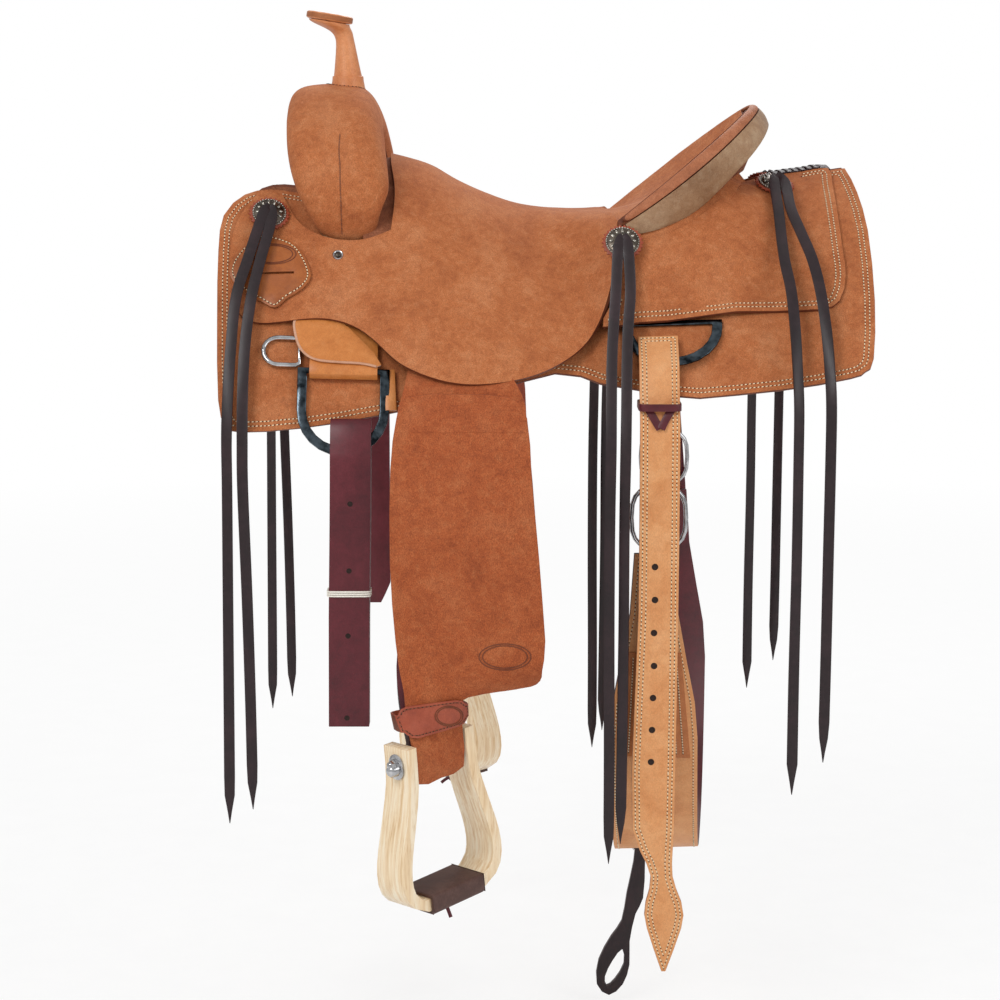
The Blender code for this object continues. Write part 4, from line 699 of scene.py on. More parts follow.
def spaced(points, step, closed):
    """The same line again, with points about step apart."""
    line = [Vector(p) for p in points] + ([Vector(points[0])] if closed else [])
    run = [0.0]
    for a, b in zip(line, line[1:]):
        run.append(run[-1] + (b - a).length)
    count = max(2, round(run[-1] / step))
    made = []
    k = 0
    for i in range(count if closed else count + 1):
        at = run[-1] * i / count
        while k < len(run) - 2 and run[k + 1] < at:
            k += 1
        made.append(line[k].lerp(line[k + 1], (at - run[k]) / max(run[k + 1] - run[k], 1e-9)))
    return made


def stitch_shape():
    """One stitch: a five-ring bead along X, with six points to a ring."""
    points = []
    for t, r in ((-0.5, 0.15), (-0.3, 0.85), (0.0, 1.0), (0.3, 0.85), (0.5, 0.15)):
        for k in range(6):
            a = math.pi * k / 3
            points.append((t * STITCH_LENGTH, r * math.cos(a) * STITCH_THICK / 2,
                           r * math.sin(a) * STITCH_THICK / 2))
    faces = [tuple(reversed(range(6))), tuple(range(24, 30))]
    for ring in range(4):
        for k in range(6):
            a = ring * 6 + k
            b = ring * 6 + (k + 1) % 6
            faces.append((a, b, b + 6, a + 6))
    return np.array(points), faces


STITCH_POINTS, STITCH_FACES = stitch_shape()


def sew(name, rows, body, thread=THREAD):
    """Sets a stitch at each (point, normal, along) of the rows, with a dark bead after it, painted shade for
    the awl hole.
    """
    points = []
    faces = []
    finishes = []
    for row in rows:
        for here, normal, along in row:
            along = (along - normal * along.dot(normal)).normalized()
            beside = normal.cross(along)
            slanted = (along + beside * SLANT).normalized()
            # The second bead of each pair is the awl hole, dark with painted shade.
            for scale, way, shift, finish in ((1.0, slanted, 0.0, 0), (HOLE_SCALE, along, 0.5, 1)):
                turn = np.array((way, normal.cross(way), normal))
                base = len(points) * len(STITCH_POINTS)
                middle = here + along * shift * STITCH_PITCH + normal * 0.10 * MM
                points.append((STITCH_POINTS * scale) @ turn + np.array(middle))
                faces += [tuple(base + i for i in face) for face in STITCH_FACES]
                finishes += [finish] * len(STITCH_FACES)
    made = mesh_piece(name, np.concatenate(points).tolist(), faces, thread, HOLE_SHADE)
    made.data.polygons.foreach_set("material_index", finishes)
    smooth(made, 60)
    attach(made, body)


def everywhere(point):
    """The rule of a row that is sewn all the way round."""
    return True


def inset_row(node, inset, keep=everywhere):
    """Stitch places at inset metres in from the outer rim of a finished piece."""
    found = FINISHED[node]
    rows = []
    for loop in found["rim"]:
        corners = [p for p, _ in loop]
        length = sum((b - a).length for a, b in zip(corners, corners[1:] + corners[:1]))
        if length < SHORTEST_RIM:
            continue
        fine = spaced(corners, 1.5 * MM, True)
        rim = KDTree(len(fine))
        for i, p in enumerate(fine):
            rim.insert(p, i)
        rim.balance()
        stepped = []
        for i, p in enumerate(fine):
            along = (fine[(i + 2) % len(fine)] - fine[i - 2]).normalized()
            guide = min(loop, key=lambda item: (item[0] - p).length_squared)[1]
            inward = guide.cross(along).normalized()
            there, normal, _, _ = found["tree"].find_nearest(p + inward * inset + guide * 0.2 * MM)
            if normal.dot(guide) > 0.5 and rim.find(there)[2] > inset * 0.93:
                stepped.append((there, normal))
        if len(stepped) < 3:
            continue
        row = []
        last = stepped[0][0]
        for i, (p, normal) in enumerate(stepped):
            gap = (p - last).length
            if i and gap < STITCH_PITCH:
                continue
            ahead = stepped[(i + 1) % len(stepped)][0] - p
            if ahead.length < 6 * MM and ahead.length > 0 and keep(p):
                row.append((p, normal, ahead.normalized()))
            last = p
        rows.append(row)
    return rows


# The jockey is sewn along its foot and its back edge, and not where it lies under the cantle
SEWN = {"rear_jockey": lambda p: p.z < -0.055 or p.x > 0.300}
SEAMS = (("skirt", (6 * MM, 11 * MM), "saddle", THREAD),
         ("rear_jockey", (6 * MM, 11 * MM), "saddle", THREAD),
         ("latigo_keeper", (3.5 * MM,), "saddle", THREAD),
         ("rear_billet", (3.5 * MM, 8 * MM), "rear_ring_{}", THREAD),
         ("hobble_strap", (3 * MM,), "leg_{}", DARK_THREAD))
total = 0
for label, side in SIDES:
    for kind, insets, body, thread in SEAMS:
        keep = SEWN.get(kind, everywhere)
        rows = [row for inset in insets for row in inset_row(f"{kind}_{label}", inset, keep)]
        sew(f"{kind}_stitches_{label}", rows, body.format(label), thread)
        total += sum(len(row) for row in rows)
sew("flank_cinch_stitches", inset_row("flank_cinch", 5 * MM), "flank")
print("stitches", total)

# %% [markdown]
# ## Placing small things
# Most small fittings are seen only in the picture, so their places are read from it. A ray from
# the camera through the pixel finds the leather that carries the fitting, and the way out of it.
# The off side gets the same fitting mirrored, because a saddler sets them in pairs.

# %% From a pixel to the leather
# Where a ray misses a piece, the piece's point nearest to this distance along it is taken
TO_LEATHER = 2.80


def ray_through(pixel):
    """The way from the eye through a pixel of the picture."""
    x, y = pixel
    up = (PICTURE / 2 - y) / FOCAL_PIXELS
    flat = Vector(((x - PICTURE / 2) / FOCAL_PIXELS, 1.0, up))
    c, s = math.cos(DOWN), math.sin(DOWN)
    return Vector((flat.x, c * flat.y + s * flat.z, -s * flat.y + c * flat.z)).normalized()


def on_leather(pixel, node):
    """The point of a finished near-side piece seen at a pixel, and its outward normal."""
    point, normal, _, _ = FINISHED[node]["tree"].ray_cast(EYE, ray_through(pixel))
    if point is None:
        guess = EYE + ray_through(pixel) * TO_LEATHER
        point, normal, _, _ = FINISHED[node]["tree"].find_nearest(guess)
    return point, normal


def on_side(side, vector):
    """A near-side vector as it is, or its mirror image for the off side."""
    return Vector((vector.x, -side * vector.y, vector.z))


def set_at(piece, point, normal, up=Vector((0, 0, 1))):
    """Moves a mesh that was made at the origin, facing +Z, onto a surface."""
    side = up.cross(normal).normalized()
    rise = normal.cross(side)
    turn = Matrix((side, rise, normal)).transposed().to_4x4()
    piece.data.transform(Matrix.Translation(point) @ turn)
    piece.data.update()


def fit(piece, finish, point, normal, body, degrees=50):
    """Gives a small fitting its finish and sets it on a surface of a body."""
    give(piece, finish)
    set_at(piece, point, normal)
    smooth(piece, degrees)
    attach(piece, body)


def lathe(name, profile, sides=32):
    """A turned piece: a disc is extruded and scaled from ring to ring of (radius, height)."""
    radius, height = profile[0]
    bpy.ops.object.select_all(action="DESELECT")
    bpy.ops.mesh.primitive_circle_add(vertices=sides, radius=radius, fill_type="NGON", location=(0, 0, 0))
    made = bpy.context.object
    made.name = name
    bpy.ops.object.mode_set(mode="EDIT")
    bpy.ops.mesh.select_all(action="SELECT")
    bpy.ops.transform.translate(value=(0, 0, height))
    for (before, low), (after, high) in zip(profile, profile[1:]):
        bpy.ops.mesh.extrude_region_move(TRANSFORM_OT_translate={"value": (0, 0, high - low)})
        share = after / before
        bpy.ops.transform.resize(value=(share, share, 1), center_override=(0, 0, high))
    bpy.ops.mesh.select_all(action="SELECT")
    bpy.ops.mesh.normals_make_consistent(inside=False)
    bpy.ops.object.mode_set(mode="OBJECT")
    return made


def strip(name, path, widths, thick, outs, finish, body, closed=False):
    """A flat strip along a path. Widths, and outs that its broad side faces, are lists or one value."""
    points = []
    faces = []
    count = len(path)
    widths = widths if isinstance(widths, list) else [widths] * count
    outs = outs if isinstance(outs, list) else [outs] * count
    ring = ((-1, -0.7), (-0.8, -1), (0.8, -1), (1, -0.7), (1, 0.7), (0.8, 1), (-0.8, 1), (-1, 0.7))
    for i in range(count):
        ahead = path[(i + 1) % count] if closed or i + 1 < count else path[i]
        behind = path[i - 1] if closed or i else path[i]
        along = (ahead - behind).normalized()
        out = (outs[i] - along * outs[i].dot(along)).normalized()
        across = along.cross(out)
        for u, w in ring:
            points.append(path[i] + across * (u * widths[i] / 2) + out * (w * thick / 2))
    size = len(ring)
    last = count if closed else count - 1
    for i in range(last):
        for k in range(size):
            a, b = i * size + k, i * size + (k + 1) % size
            ahead = (i + 1) % count * size
            faces.append((a, ahead + k, ahead + (k + 1) % size, b))
    if not closed:
        faces.append(tuple(range(size)))
        faces.append(tuple(reversed(range((count - 1) * size, count * size))))
    made = mesh_piece(name, points, faces, finish)
    face_out(made)
    smooth(made, 50)
    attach(made, body)
    return made


def curve_through(points, steps):
    """A smooth line through points, with that many steps for each span."""
    points = [Vector(p) for p in points]
    made = []
    for i in range(len(points) - 1):
        p0, p1 = points[max(i - 1, 0)], points[i]
        p2, p3 = points[i + 1], points[min(i + 2, len(points) - 1)]
        for k in range(steps):
            t = k / steps
            made.append(0.5 * (2 * p1 + (p2 - p0) * t + (2 * p0 - 5 * p1 + 4 * p2 - p3) * t * t
                               + (3 * p1 - p0 - 3 * p2 + p3) * t ** 3))
    return made + [points[-1]]


# %% [markdown]
# ## Saddle strings
# Each pair of strings is a 12 mm thong of dark oiled latigo leather, 2.6 mm thick, knotted through
# its concho. Both ends hang free and are cut to a point. A thong that hangs keeps its broad side
# outwards and turns a little as it falls. The routes are those of the solids, in metres, listed
# for the near side from the concho down.

# %% Strings
STRING_WIDTH = 12 * MM
STRING_THICK = 2.6 * MM
STRING_ROUTES = {
    "front": (((-0.3094, 0.1356, 0.0420), (-0.3143, 0.1400, 0.0390), (-0.3200, 0.1530, 0.0220),
               (-0.3300, 0.1810, -0.0130), (-0.3410, 0.2110, -0.0540), (-0.3450, 0.2370, -0.1080),
               (-0.3470, 0.2580, -0.1600), (-0.3480, 0.2680, -0.2050), (-0.3480, 0.2700, -0.2600),
               (-0.3490, 0.2700, -0.3800), (-0.3500, 0.2700, -0.5100), (-0.3510, 0.2700, -0.6330)),
              ((-0.3094, 0.1356, 0.0420), (-0.3060, 0.1400, 0.0370), (-0.3080, 0.1540, 0.0200),
               (-0.3170, 0.1820, -0.0170), (-0.3250, 0.2110, -0.0580), (-0.3300, 0.2370, -0.1100),
               (-0.3310, 0.2580, -0.1620), (-0.3310, 0.2680, -0.2060), (-0.3310, 0.2700, -0.2600),
               (-0.3280, 0.2700, -0.3800), (-0.3260, 0.2700, -0.5000), (-0.3250, 0.2700, -0.6170))),
    "mid": (((0.0853, 0.1677, 0.0105), (0.0815, 0.1710, 0.0060), (0.0790, 0.1800, -0.0120),
             (0.0770, 0.1910, -0.0480), (0.0740, 0.2070, -0.0850), (0.0715, 0.2260, -0.1250),
             (0.0705, 0.2450, -0.1700), (0.0700, 0.2570, -0.2200), (0.0690, 0.2590, -0.3000),
             (0.0690, 0.2590, -0.4200), (0.0700, 0.2590, -0.5600), (0.0700, 0.2590, -0.6830)),
            ((0.0853, 0.1677, 0.0105), (0.0895, 0.1710, 0.0060), (0.0915, 0.1800, -0.0120),
             (0.0930, 0.1910, -0.0500), (0.0900, 0.2070, -0.0870), (0.0880, 0.2270, -0.1260),
             (0.0870, 0.2450, -0.1710), (0.0860, 0.2570, -0.2200), (0.0850, 0.2590, -0.3000),
             (0.0850, 0.2590, -0.4200), (0.0840, 0.2590, -0.5600), (0.0830, 0.2590, -0.6600))),
    "rear": (((0.2673, 0.0477, 0.0745), (0.2645, 0.0540, 0.0715), (0.2640, 0.0690, 0.0600),
              (0.2650, 0.1020, 0.0350), (0.2650, 0.1350, 0.0080), (0.2660, 0.1660, -0.0180),
              (0.2700, 0.1970, -0.0480), (0.2720, 0.2250, -0.0880), (0.2730, 0.2460, -0.1300),
              (0.2740, 0.2580, -0.1700), (0.2740, 0.2610, -0.2300), (0.2740, 0.2610, -0.3400),
              (0.2730, 0.2610, -0.4700), (0.2730, 0.2610, -0.6030)),
             ((0.2673, 0.0477, 0.0745), (0.2730, 0.0520, 0.0715), (0.2770, 0.0660, 0.0620),
              (0.2790, 0.1010, 0.0380), (0.2870, 0.1340, 0.0130), (0.2960, 0.1660, -0.0140),
              (0.3020, 0.1960, -0.0460), (0.3060, 0.2250, -0.0880), (0.3080, 0.2460, -0.1290),
              (0.3090, 0.2590, -0.1690), (0.3090, 0.2610, -0.2300), (0.3085, 0.2610, -0.3400),
              (0.3080, 0.2610, -0.4600), (0.3070, 0.2610, -0.5660))),
}
POINT_LENGTH = 34 * MM


def hang_string(name, node, route, side, turn):
    """One end of a thong, from its concho to its point, as a strip; returns its length."""
    path = curve_through([(x, side * y, z) for x, y, z in route], 6)
    length = sum((b - a).length for a, b in zip(path, path[1:]))
    run = 0.0
    widths = []
    outs = []
    for i, here in enumerate(path):
        if i:
            run += (here - path[i - 1]).length
        left = length - run
        point = max(0.06, min(1.0, left / POINT_LENGTH))
        widths.append(STRING_WIDTH * point * min(1.0, 0.7 + run / 0.05))
        twist = turn * math.sin(math.pi * run / length) * min(1.0, max(0.0, (run - 0.2) / 0.1))
        outs.append(Vector((math.sin(twist), side * math.cos(twist), 0.35 if run < 0.15 else 0.0)))
    made = strip(name, path, widths, STRING_THICK, outs, DARK, "saddle")
    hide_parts(node)
    return length


TURNS = {"front": (0.35, -0.3), "mid": (0.25, 0.5), "rear": (-0.4, 0.45)}
for part, routes in STRING_ROUTES.items():
    for label, side in SIDES:
        node = f"saddle_strings_{part}_{label}"
        lengths = [hang_string(f"string_{part}_{label}_{k + 1}", node, route, side, TURNS[part][k] * side)
                   for k, route in enumerate(routes)]
    print("strings", part, [round(x, 3) for x in lengths], "m")

# %% [markdown]
# ## Conchos
# A concho is a domed silver disc, 38 mm across, on a leather rosette with a saw-tooth rim. Its
# rim is a rope of small beads, and inside it a ring of leaves is cut and waxed dark. The disc is
# turned from a circle, the beads and leaves are one shape copied round it, and the thongs come
# out over a slot in its middle.

# %% Conchos
CONCHO_RADIUS = 19 * MM
ROSETTE_RADIUS = 23.3 * MM
ROSETTE_TEETH = 26
TOOTH_DEPTH = 0.89
BEADS = 36
LEAVES = 12
COLLAR_BEADS = 20


def plane_of(node):
    """The middle of a disc-like node and its outward normal, from its spread of points."""
    points = np.array([v.co for v in frame["nodes"][node].data.vertices])
    middle = points.mean(0)
    normal = Vector(np.linalg.svd(points - middle, full_matrices=False)[2][2])
    middle = Vector(middle)
    side = -1 if middle.y < 0 else 1
    if normal.dot(Vector((0, side, 0.5))) < 0:
        normal = -normal
    low = min((Vector(p) - middle).dot(normal) for p in points)
    return middle + normal * low, normal


def bead_ring(name, count, radius, height, size, stretch=1.0):
    """Small beads copied round a circle, each with its own points."""
    points = []
    faces = []
    template = bmesh.new()
    bmesh.ops.create_icosphere(template, subdivisions=1, radius=1.0)
    for k in range(count):
        a = 2 * math.pi * k / count
        turn = Matrix.Rotation(a, 3, "Z")
        base = len(points)
        for v in template.verts:
            p = Vector((radius + v.co.x * size * stretch, v.co.y * size, height + v.co.z * size * 0.7))
            points.append(tuple(turn @ p))
        faces += [tuple(base + v.index for v in f.verts) for f in template.faces]
    template.free()
    return mesh_piece(name, points, faces)


def make_concho(part, label):
    """A rosette, a silver disc, its beads, leaves and collar, laid where the solid lies."""
    node = f"concho_{part}_{label}"
    foot, normal = plane_of(node)
    rosette = lathe(f"rosette_{part}_{label}",
                    ((ROSETTE_RADIUS, 0.0), (ROSETTE_RADIUS, 1.6 * MM),
                     (ROSETTE_RADIUS - 1.0 * MM, 2.0 * MM)), ROSETTE_TEETH * 2)
    for v in rosette.data.vertices:
        around = math.atan2(v.co.y, v.co.x) / (2 * math.pi) * ROSETTE_TEETH * 2
        if round(around) % 2 and math.hypot(v.co.x, v.co.y) > 15 * MM:
            v.co.x *= TOOTH_DEPTH
            v.co.y *= TOOTH_DEPTH
    disc = lathe(f"concho_disc_{part}_{label}",
                 ((CONCHO_RADIUS, 2.1 * MM), (CONCHO_RADIUS, 2.9 * MM),
                  (CONCHO_RADIUS - 1.2 * MM, 3.6 * MM), (CONCHO_RADIUS - 2.6 * MM, 3.3 * MM),
                  (CONCHO_RADIUS - 3.4 * MM, 3.8 * MM), (11 * MM, 5.0 * MM), (7 * MM, 5.9 * MM),
                  (6.2 * MM, 5.2 * MM), (2 * MM, 5.2 * MM)), 48)
    beads = bead_ring(f"concho_beads_{part}_{label}", BEADS, CONCHO_RADIUS - 0.9 * MM, 3.5 * MM, 1.15 * MM)
    leaves = bead_ring(f"concho_leaves_{part}_{label}", LEAVES, 12.6 * MM, 4.7 * MM, 1.9 * MM, 1.55)
    collar = bead_ring(f"concho_collar_{part}_{label}", COLLAR_BEADS, 7.4 * MM, 5.8 * MM, 0.8 * MM)
    fit(rosette, RED_RUSSET, foot, normal, "saddle")
    fit(disc, NICKEL_DARK, foot, normal, "saddle")
    for piece in (beads, leaves, collar):
        fit(piece, NICKEL_SILVER, foot, normal, "saddle")
    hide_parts(node)


for part in ("front", "mid", "rear"):
    for label, side in SIDES:
        make_concho(part, label)
print("conchos 6")

# %% [markdown]
# ## Fork seam, horn lace, notch welt
# The fork cover is two pieces of hide joined by a stitched seam down the swell. A ring of dark
# lace covers the nails round the horn's foot. Where the seat is cut out round the fork, a welt
# fills the gap between the two hides, as a saddler tucks the cover under the seat.

# %% Seam, lace and welt
SEAM_PIXELS = ((340, 134), (339, 150), (340, 165), (340, 180), (341, 205), (342, 234))
for label, side in SIDES:
    line = curve_through([on_side(side, on_leather(p, "swell_cover")[0]) for p in SEAM_PIXELS], 14)
    snapped = [FINISHED["swell_cover"]["tree"].find_nearest(p) for p in line]
    path = [point + normal * 0.2 * MM for point, normal, _, _ in snapped]
    outs = [normal for _, normal, _, _ in snapped]
    strip(f"fork_seam_{label}", path, 1.1 * MM, 0.7 * MM, outs, ROUGHOUT_SHADE_AND_SEAM, "saddle")
    row = [(point, normal, (path[min(i + 1, len(path) - 1)] - path[max(i - 1, 0)]).normalized())
           for i, (point, normal, _, _) in enumerate(snapped[2:-2:2])]
    sew(f"fork_seam_stitches_{label}", [row], "saddle", DARK_THREAD)

horn_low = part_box("horn_wrap")[0]
wrap = np.array([v.co for v in frame["nodes"]["horn_wrap"].data.vertices])
foot_ring = wrap[wrap[:, 2] < horn_low.z + 12 * MM]
horn_foot = Vector(foot_ring.mean(0))
horn_radius = float(np.linalg.norm((foot_ring - foot_ring.mean(0))[:, :2], axis=1).max())
HORN_SINK = 14 * MM
collar = lathe("horn_collar", ((horn_radius + 3.5 * MM, -HORN_SINK), (horn_radius + 1.6 * MM, -7 * MM),
                               (horn_radius + 0.4 * MM, -1 * MM), (horn_radius - 0.2 * MM, 5 * MM),
                               (horn_radius - 3 * MM, 6 * MM)), 40)
give(collar, RUSSET)
collar.data.transform(Matrix.Translation((horn_foot.x, 0, horn_low.z)))
smooth(collar, 60)
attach(collar, "saddle")
LACES = 30
lace_row = []
for k in range(LACES):
    a = 2 * math.pi * k / LACES
    outward = Vector((math.cos(a), math.sin(a), 0))
    guess = Vector((horn_foot.x, 0, horn_low.z)) + outward * (horn_radius + 5.5 * MM)
    point, normal, _, _ = FINISHED["swell_cover"]["tree"].find_nearest(guess)
    lace_row.append((point, normal, outward))
sew("horn_foot_lace", [lace_row], "saddle", DARK_LACE)

# The gap behind the fork is closed by a strip under the rim of the seat's cut-out
# Each row is x, y, z in metres and the strip's width in millimetres
NOTCH = ((-0.1790, 0.1450, 0.0020, 46), (-0.1830, 0.1380, 0.0120, 44), (-0.1810, 0.1115, 0.0380, 34),
         (-0.1800, 0.0837, 0.0610, 30), (-0.1830, 0.0555, 0.0790, 28), (-0.1840, 0.0274, 0.0900, 28),
         (-0.1845, 0.0, 0.0945, 28))
notch = [(Vector((x, -y, z)), w * MM) for x, y, z, w in NOTCH]
notch += [(on_side(1, p), w) for p, w in reversed(notch[:-1])]
path = curve_through([p for p, _ in notch], 4)
widths = np.interp(np.linspace(0, len(notch) - 1, len(path)), range(len(notch)), [w for _, w in notch])
outs = [Vector((0, p.y, 0.12)).normalized() for p in path]
sunk = [p - out * 2.5 * MM for p, out in zip(path, outs)]
# The welt is the darker roughout, painted shade under the seat's rim.
strip("fork_notch_welt", sunk, list(widths), 3 * MM, outs, ROUGHOUT_SHADE_AND_SEAM, "saddle")

# The hide below the cantle's band runs down under the edge of the rear jockey
# It follows the jockey's top edge, 5 mm behind it and 9 mm above
CANTLE_FOOT_X = (0.090, 0.232)
CANTLE_FOOT_Z = (-0.030, 0.075)
for label, side in SIDES:
    loop = max(FINISHED[f"rear_jockey_{label}"]["rim"], key=len)
    edge = [p for p, _ in loop if CANTLE_FOOT_Z[0] < p.z < CANTLE_FOOT_Z[1]
            and CANTLE_FOOT_X[0] < p.x < CANTLE_FOOT_X[1]]
    edge.sort(key=lambda p: p.x)
    out = Vector((0, side, 0.55)).normalized()
    rise = Vector((0, -side * 0.55, 1)).normalized()
    foot = spaced([p - out * 5 * MM + rise * 9 * MM for p in edge], 8 * MM, False)
    strip(f"cantle_foot_{label}", foot, 30 * MM, 3 * MM, out, ROUGHOUT, "saddle")
print("fork and cantle closed")

# %% [markdown]
# ## Neck of the fender
# The fender narrows to a neck that goes up under the jockey to the tree bar. It bends where the
# leg swings out, and its lower rows lie on the fender's face.

# %% Fender neck
# Each row is a height, how far out it lies and its two edges
# A row with None for how far out lies on the fender's face
NECK_ROWS = ((-0.1150, 0.2236, -0.1500, -0.0520), (-0.1300, 0.2342, -0.1520, -0.0440),
             (-0.1420, 0.2430, -0.1540, -0.0360), (-0.1500, 0.2490, -0.1560, -0.0310),
             (-0.1580, 0.2528, -0.1580, -0.0270), (-0.1680, None, -0.1610, -0.0235),
             (-0.1820, None, -0.1635, -0.0225), (-0.1950, None, -0.1640, -0.0220))
NECK_COLUMNS = 14
NECK_THICK = 3 * MM
NECK_STEP = 3 * MM
BESIDE_FENDER = 0.6


def neck_row(face, side, z, y, x0, x1):
    """One row of the neck's outer skin."""
    row = []
    for k in range(NECK_COLUMNS + 1):
        x = x0 + (x1 - x0) * k / NECK_COLUMNS
        reach = y
        if y is None:
            hit = face.ray_cast(Vector((x, side * BESIDE_FENDER, z)), Vector((0, -side, 0)))[0]
            reach = abs(hit.y) + 0.35 * MM if hit else row[-1].y * side if row else 0.256
        row.append(Vector((x, side * reach, z)))
    for k in range(NECK_COLUMNS - 1, -1, -1):
        if abs(abs(row[k].y) - abs(row[k + 1].y)) > NECK_STEP:
            row[k].y = row[k + 1].y
    return row


for label, side in SIDES:
    face = FINISHED[f"fender_{label}"]["tree"]
    points = [p for measures in NECK_ROWS for p in neck_row(face, side, *measures)]
    size = len(points)
    points += [p - Vector((0, side * NECK_THICK, 0)) for p in points]
    wide = NECK_COLUMNS + 1
    deep = len(NECK_ROWS)
    faces = grid_faces(wide, deep)
    faces += [tuple(size + i for i in reversed(face)) for face in faces]
    edge = [(0, k) for k in range(wide)] + [(r, wide - 1) for r in range(1, deep)]
    edge += [(deep - 1, k) for k in range(wide - 2, -1, -1)] + [(r, 0) for r in range(deep - 2, 0, -1)]
    loop = [r * wide + k for r, k in edge]
    faces += [(b, a, size + a, size + b) for a, b in zip(loop, loop[1:] + loop[:1])]
    neck = mesh_piece(f"fender_neck_{label}", points, faces, FENDER_HIDE)
    face_out(neck)
    smooth(neck, 50)
    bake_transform(neck)
print("necks 2")

# %% [markdown]
# ## Flap, side strap and patch
# The rigging has a front flap with a pale cut edge. It is a flat plate: its outline is read from
# the picture and set in the plane of the leather below. A short strap runs beside it. The flank
# cinch has a darker patch, which follows the curve of the cinch.

# %% Flap, side strap and patch
def plate(name, outline, under, node, lift, thick, finish, edge, body):
    """A flat plate over the leather seen at three pixels, on both sides. Returns the near one."""
    a, b, c = (on_leather(p, node)[0] for p in under)
    normal = (b - a).cross(c - a).normalized()
    if normal.y > 0:
        normal = -normal
    base = a + normal * lift
    near = []
    for pixel in outline:
        way = ray_through(pixel)
        near.append(EYE + way * ((base - EYE).dot(normal) / way.dot(normal)))
    count = len(near)
    faces = [tuple(range(count)), tuple(range(count, 2 * count))]
    faces += [(k, (k + 1) % count, count + (k + 1) % count, count + k) for k in range(count)]
    for label, side in SIDES:
        corners = [on_side(side, p) for p in near + [p + normal * thick for p in near]]
        made = mesh_piece(f"{name}_{label}", corners, faces, finish, edge)
        made.data.polygons.foreach_set("material_index", [0, 0] + [1] * count)
        face_out(made, triangles=True)
        smooth(made)
        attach(made, body)
    return near, normal


FLAP = ((310, 312), (297, 317), (294, 324), (295, 334), (298, 345), (303, 353), (311, 359), (322, 362),
        (340, 363.5), (358, 364.5), (368, 366), (376, 368), (381, 366), (374, 354), (350, 330), (330, 314))
FLAP_UNDER = ((315, 330), (366, 352), (335, 352))
SIDE_STRAP = ((389, 372), (390, 392), (391, 412))
near, normal = plate("rigging_flap", FLAP, FLAP_UNDER, "rigging_leather_near", 0.4 * MM, 2.6 * MM,
                     RIGGING_HIDE, PALE_EDGE, "saddle")
seen = [on_leather(p, "skirt_near") for p in SIDE_STRAP]
for label, side in SIDES:
    line = curve_through([on_side(side, p + normal * 2.7 * MM) for p in near[1:12]], 3)
    strip(f"rigging_flap_lip_{label}", line, 2.6 * MM, 1.4 * MM, on_side(side, normal), PALE_EDGE, "saddle")
    line = curve_through([on_side(side, p + n * 4.5 * MM) for p, n in seen], 4)
    strip(f"rigging_side_strap_{label}", line, 12 * MM, 4 * MM, on_side(side, seen[1][1]), RIGGING_HIDE,
          "saddle")

# The patch lies on the curve of the cinch, so it is a grid of points on the leather
PATCH = ((628, 652), (681, 653), (690, 757), (621, 755))
PATCH_STEPS = 10
wide = PATCH_STEPS + 1
grid = []
for r in range(wide):
    for k in range(wide):
        u, v = k / PATCH_STEPS, r / PATCH_STEPS
        top = [PATCH[0][i] * (1 - u) + PATCH[1][i] * u for i in (0, 1)]
        foot = [PATCH[3][i] * (1 - u) + PATCH[2][i] * u for i in (0, 1)]
        grid.append(on_leather([top[i] * (1 - v) + foot[i] * v for i in (0, 1)], "flank_cinch"))
patch = mesh_piece("cinch_patch", [p + n * 0.3 * MM for p, n in grid], grid_faces(wide, wide), PATCH_HIDE)
if sum(p.normal.dot(Vector((0, -1, 0))) for p in patch.data.polygons) < 0:
    patch.data.flip_normals()
apply(patch, "SOLIDIFY", thickness=1.8 * MM, offset=1.0)
smooth(patch)
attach(patch, "flank")
rows = []
for column in (1, 2, PATCH_STEPS - 2, PATCH_STEPS - 1):
    line = [grid[r * wide + column] for r in range(wide)]
    fine = spaced([p + n * 2.2 * MM for p, n in line], STITCH_PITCH, False)
    along = (line[-1][0] - line[0][0]).normalized()
    rows.append([(p, line[len(line) // 2][1], along) for p in fine[2:-2]])
sew("cinch_patch_stitches", rows, "flank")

# %% [markdown]
# ## Stirrup bolts and tread laces
# A bolt runs through each stirrup's two arms. A washer and a six-sided nut lie on the wood at each
# end, where a ray along the bolt meets it, and the inner washer is smaller. Three short lace tails
# hang from the tread.

